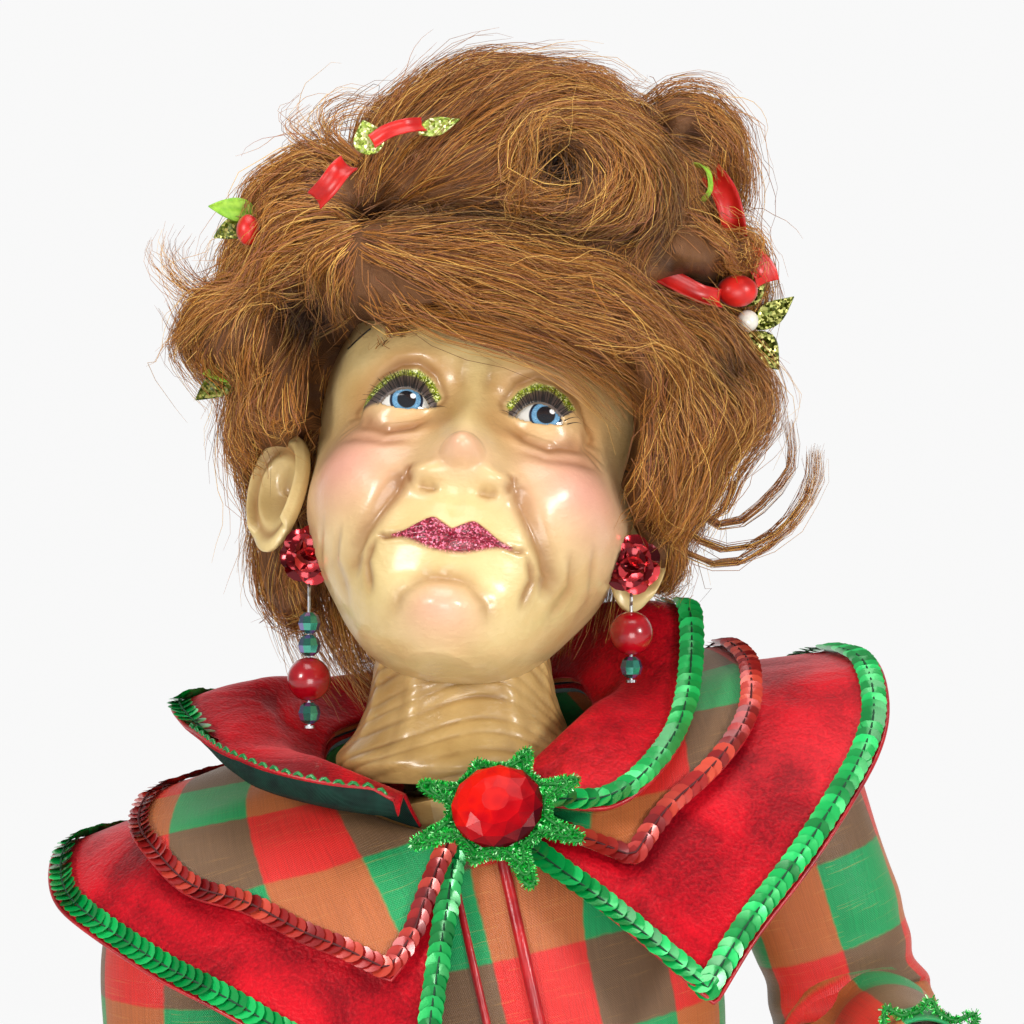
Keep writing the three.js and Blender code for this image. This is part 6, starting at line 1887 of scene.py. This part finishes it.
# The pieces that stand for each trimming; the first of them replaces its node
trimmings = {
    "sprig_left_low": [
        leaf("leaf_left_1", (77, 2, 48), (88, 2, 56), 3.4, leaf_olive),
        leaf("leaf_left_2", (75, 2, 46), (83.5, 0, 36), 5.2, leaf_olive),
        leaf("leaf_left_3", (73, 2, 54), (80, 2, 63), 3.8, leaf_olive),
        ball("berry_left", (75, -3, 49.5), (3, 3, 3), pearl_white),
    ],
    "sprig_right_high": [
        leaf("leaf_right_1", (-58, -9, 78.5), (-71, -11, 80), 3.4, leaf_fresh),
        leaf("leaf_right_2", (-60, -10, 76), (-69.5, -12, 71.5), 3.2, leaf_olive),
        ball("bud_right", (-60, -14, 73.5), (3.2, 3.2, 4.2), ribbon_red, 6),
    ],
    "sprig_right_low": [
        leaf("leaf_right_3", (-62, -2, 37), (-75, -4, 28), 4.2, leaf_olive, (0.3, -1, 0.3)),
        leaf("leaf_right_4", (-62, -1, 36), (-73, -3, 35), 3.2, leaf_fresh, (0.3, -1, 0.3)),
    ],
    "sprig_top": [
        leaf("leaf_top_1", (-26, -26, 93), (-28.5, -26, 102), 4.4, leaf_pale, (0, -1, 0.1), 0.6),
        leaf("leaf_top_2", (-14, -26, 99), (-3, -24, 102), 2.6, leaf_pale),
    ],
    "ribbon_left_high": [
        ribbon("ribbon_left_1", [(65, 0, 90), (69, -3, 84), (71, -3, 78), (72, -1, 73)], 7, (-0.3, -1, 0.2)),
        ribbon("ribbon_left_2", [(60, -8, 91), (63, -10, 90), (64, -10, 85), (62, -9, 82)], 2.6, (1, -0.6, 0),
               leaf_fresh),
    ],
    "ribbon_right_high": [
        ribbon("ribbon_right_1", [(-41, -24, 81), (-38, -27, 84), (-35, -27, 88), (-33, -24, 90)], 6,
               (0, -1, 0.2)),
        ribbon("ribbon_right_2", [(-26, -27, 96), (-22, -28, 98.5), (-17, -28, 100), (-13, -25, 100.5)], 4.4,
               (0, -1, 0.4)),
    ],
    "ribbon_left_low": [
        ribbon("ribbon_left_3", [(50, -12, 62), (56, -12, 59), (62, -11, 56), (67, -8, 55)], 5.5,
               (0, -1, 0.3)),
        ribbon("ribbon_left_4", [(71, 0, 69), (75, -2, 67), (79, -2, 63), (80, -1, 60)], 7, (0.2, -1, 0.2)),
        ball("ribbon_knot", (72, -6, 57.5), (5.6, 4, 4.4), ribbon_red, 10),
    ],
}
for node, pieces in trimmings.items():
    slot = "leaf" if "sprig" in node else "ribbon"
    put(pieces[0], "head_unit", slot, node)
    for made in pieces[1:]:
        put(made, "head_unit", slot)


# Each earring is a flower of cupped foil sequins glued to the ear lobe, with a steel pin hung from its hook.
# Faceted glass beads and a red pearl are threaded on the pin, and it swings on the hook.
foil_red, tree, shader = finish("Red foil", Roughness=0.2, Metallic=0.85, Coat_Weight=0.4)
coloured(tree, shader, mark(tree, "tint"), (0.0, paint(84, 2, 12)), (0.6, paint(150, 8, 24)),
         (1.0, paint(226, 64, 70)))
pearl_red, tree, shader = finish("Red pearl", Roughness=0.24, Coat_Weight=0.45, Coat_Roughness=0.12)
coloured(tree, shader, noise(tree, 120.0, 2.0), (0.35, paint(136, 0, 16)), (0.65, paint(176, 8, 26)))
facet_glass, tree, shader = finish("Coated facet glass", Roughness=0.1, Metallic=0.75, Coat_Weight=0.6)
facing = add(tree, "ShaderNodeNewGeometry").outputs["True Normal"]
turned_face = vector(tree, "DOT_PRODUCT", i0=facing, i1=(5.7, 2.3, 8.9))
band = calc(tree, "FRACT", calc(tree, "ADD", turned_face.outputs["Value"], 8.0))
coloured(tree, shader, band, (0.0, paint(14, 66, 62)), (0.3, paint(84, 190, 164)), (0.5, paint(14, 16, 22)),
         (0.75, paint(158, 124, 206)), (1.0, paint(18, 96, 82)))

PEARL_RADIUS = 5.9
# Radius and height of a facet bead's rows of corners
FACET_ROWS = [(1.3, 2.85), (2.5, 1.9), (3.1, 0.0), (2.5, -1.9), (1.3, -2.85)]
# A flower's rings of sequins: how many, radius, place forward, lean outwards and first angle
PETAL_RINGS = [(7, 4.6, 0.0, 0.75, 0.2), (5, 2.5, -1.9, 0.4, 0.7), (2, 0.9, -3.2, 0.3, 0.1)]
HOOKS = {"left": (23, -8, 494.5), "right": (-63.5, -8, 497)}
DROPS = {
    "left": [("earring_pearl_left", 485, "pearl"), ("earring_tip_left", 475.9, "facet")],
    "right": [("earring_bead_1_right", 487.8, "facet"), ("earring_bead_2_right", 481.8, "facet"),
              ("earring_pearl_right", 472.7, "pearl"), ("earring_tip_right", 463.6, "facet")],
}


def petals(hook):
    """Cupped sequins round a flower's middle: an outer ring, an inner ring turned half a step, and a bud."""
    middle = np.array(hook) + [0, -2.2, 9]
    spots, outs = [], []
    for count, radius, forward, lean, start in PETAL_RINGS:
        for k in range(count):
            a = start + 2 * math.pi * k / count
            way = np.array([math.sin(a), 0, math.cos(a)])
            spots.append(middle + radius * way + [0, forward + 0.3 * (k % 2), 0])
            outs.append(np.array([0, -1, 0]) + lean * way)
    return spots, outs, np.tile([0.9, 0.1, 0.4], (len(spots), 1))


def bead(kind, middle):
    """A round pearl, or a glass bead cut in two rows of facets."""
    if kind == "pearl":
        tilt = np.linspace(0.13, np.pi - 0.13, 28)
        points, faces = turned([(PEARL_RADIUS * math.sin(t), PEARL_RADIUS * math.cos(t)) for t in tilt], 44)
        return make("pearl", points + middle, faces, pearl_red)
    points, faces = turned(FACET_ROWS, 9)
    made = make("facet bead", points + middle, faces, facet_glass)
    made.data.shade_flat()
    return made


for side, hook in HOOKS.items():
    flower = sew(f"foil_flower_{side}", *petals(hook), sequin(3.7), foil_red, 0.22, 9)
    put(flower, "head_unit", "foil", f"earring_flower_{side}")
    for node, height, kind in DROPS[side]:
        made = bead(kind, np.array([hook[0], hook[1], height]))
        made.name = node.replace("earring", "drop")
        put(made, f"{side}_earring", kind, node)
    refinish(steel, f"earring_pin_{side}")


# The studio is a white sweep of paper under soft box lamps; the camera stands level with the doll's face.
# The camera sees the paper and the far walls as white, and they light the doll as a grey card would.
SWEEP_HALF = 4500
SWEEP_ROUND = 500
LAMP_TARGET = Vector((0, 0, 0.5))
# Each lamp's place in metres, size, power and tint
LAMPS = {
    "Left box": ((-1.02, -0.98, 0.9), 0.32, 10.8, (1.0, 0.975, 0.94)),
    "Right box": ((1.08, -0.98, 0.86), 0.32, 13, (1.0, 0.985, 0.96)),
    "Low box": ((0.1, -1.25, 0.2), 0.6, 8.2, (1.0, 0.985, 0.96)),
    "Top box": ((0.0, -0.2, 1.5), 0.8, 8, (1.0, 0.99, 0.97)),
}


def bright_to_lens(tree, lit, shown):
    """Mix two shaders: shown for rays that the camera, a mirror or glass sends, lit for the rest."""
    path = add(tree, "ShaderNodeLightPath")
    seen = calc(tree, "MAXIMUM", path.outputs["Is Camera Ray"], path.outputs["Is Glossy Ray"])
    seen = calc(tree, "MAXIMUM", seen, path.outputs["Is Transmission Ray"])
    return add(tree, "ShaderNodeMixShader", i0=seen, i1=lit, i2=shown)


paper, tree, card = finish("Paper sweep", Base_Color=(0.62, 0.62, 0.61, 1), Roughness=0.9)
glow = add(tree, "ShaderNodeEmission", Color=(1, 1, 1, 1), Strength=1.0)
half_lit = add(tree, "ShaderNodeMixShader", i0=0.93, i1=card, i2=glow)
wire(tree, bright_to_lens(tree, card, half_lit), tree.nodes["Material Output"].inputs["Surface"])

bend = SWEEP_HALF - SWEEP_ROUND
curve = [(-SWEEP_HALF, 0), (bend, 0)]
for a in np.radians(np.linspace(10, 90, 9)):
    curve.append((bend + SWEEP_ROUND * math.sin(a), SWEEP_ROUND * (1 - math.cos(a))))
curve.append((SWEEP_HALF, SWEEP_HALF))
points = [(x, y, z) for y, z in curve for x in (-SWEEP_HALF, SWEEP_HALF)]
faces = [(2 * k, 2 * k + 1, 2 * k + 3, 2 * k + 2) for k in range(len(curve) - 1)]
make("paper_sweep", points, faces, paper)

world = bpy.data.worlds.new("Studio walls")
bpy.context.scene.world = world
world.use_nodes = True
tree = world.node_tree
walls = add(tree, "ShaderNodeBackground", Color=(0.84, 0.83, 0.82, 1), Strength=0.35)
white = add(tree, "ShaderNodeBackground", Color=(1, 1, 1, 1), Strength=1.0)
path = add(tree, "ShaderNodeLightPath")
wire(tree, add(tree, "ShaderNodeMixShader", i0=path.outputs["Is Camera Ray"], i1=walls, i2=white),
     tree.nodes["World Output"].inputs["Surface"])

for name, (at, size, power, tint) in LAMPS.items():
    light = bpy.data.lights.new(name, "AREA")
    light.size = size
    light.energy = power
    light.color = tint
    made = placed(name, light)
    made.location = at
    made.rotation_euler = (LAMP_TARGET - Vector(at)).to_track_quat("-Z", "Y").to_euler()

camera = placed("Camera", bpy.data.cameras.new("Camera"))
camera.location = (-0.009, -1.225, 0.5176)
camera.rotation_euler = (math.pi / 2, 0, 0)
camera.data.sensor_width = 36
camera.data.angle = math.radians(12.9)
bpy.context.scene.camera = camera
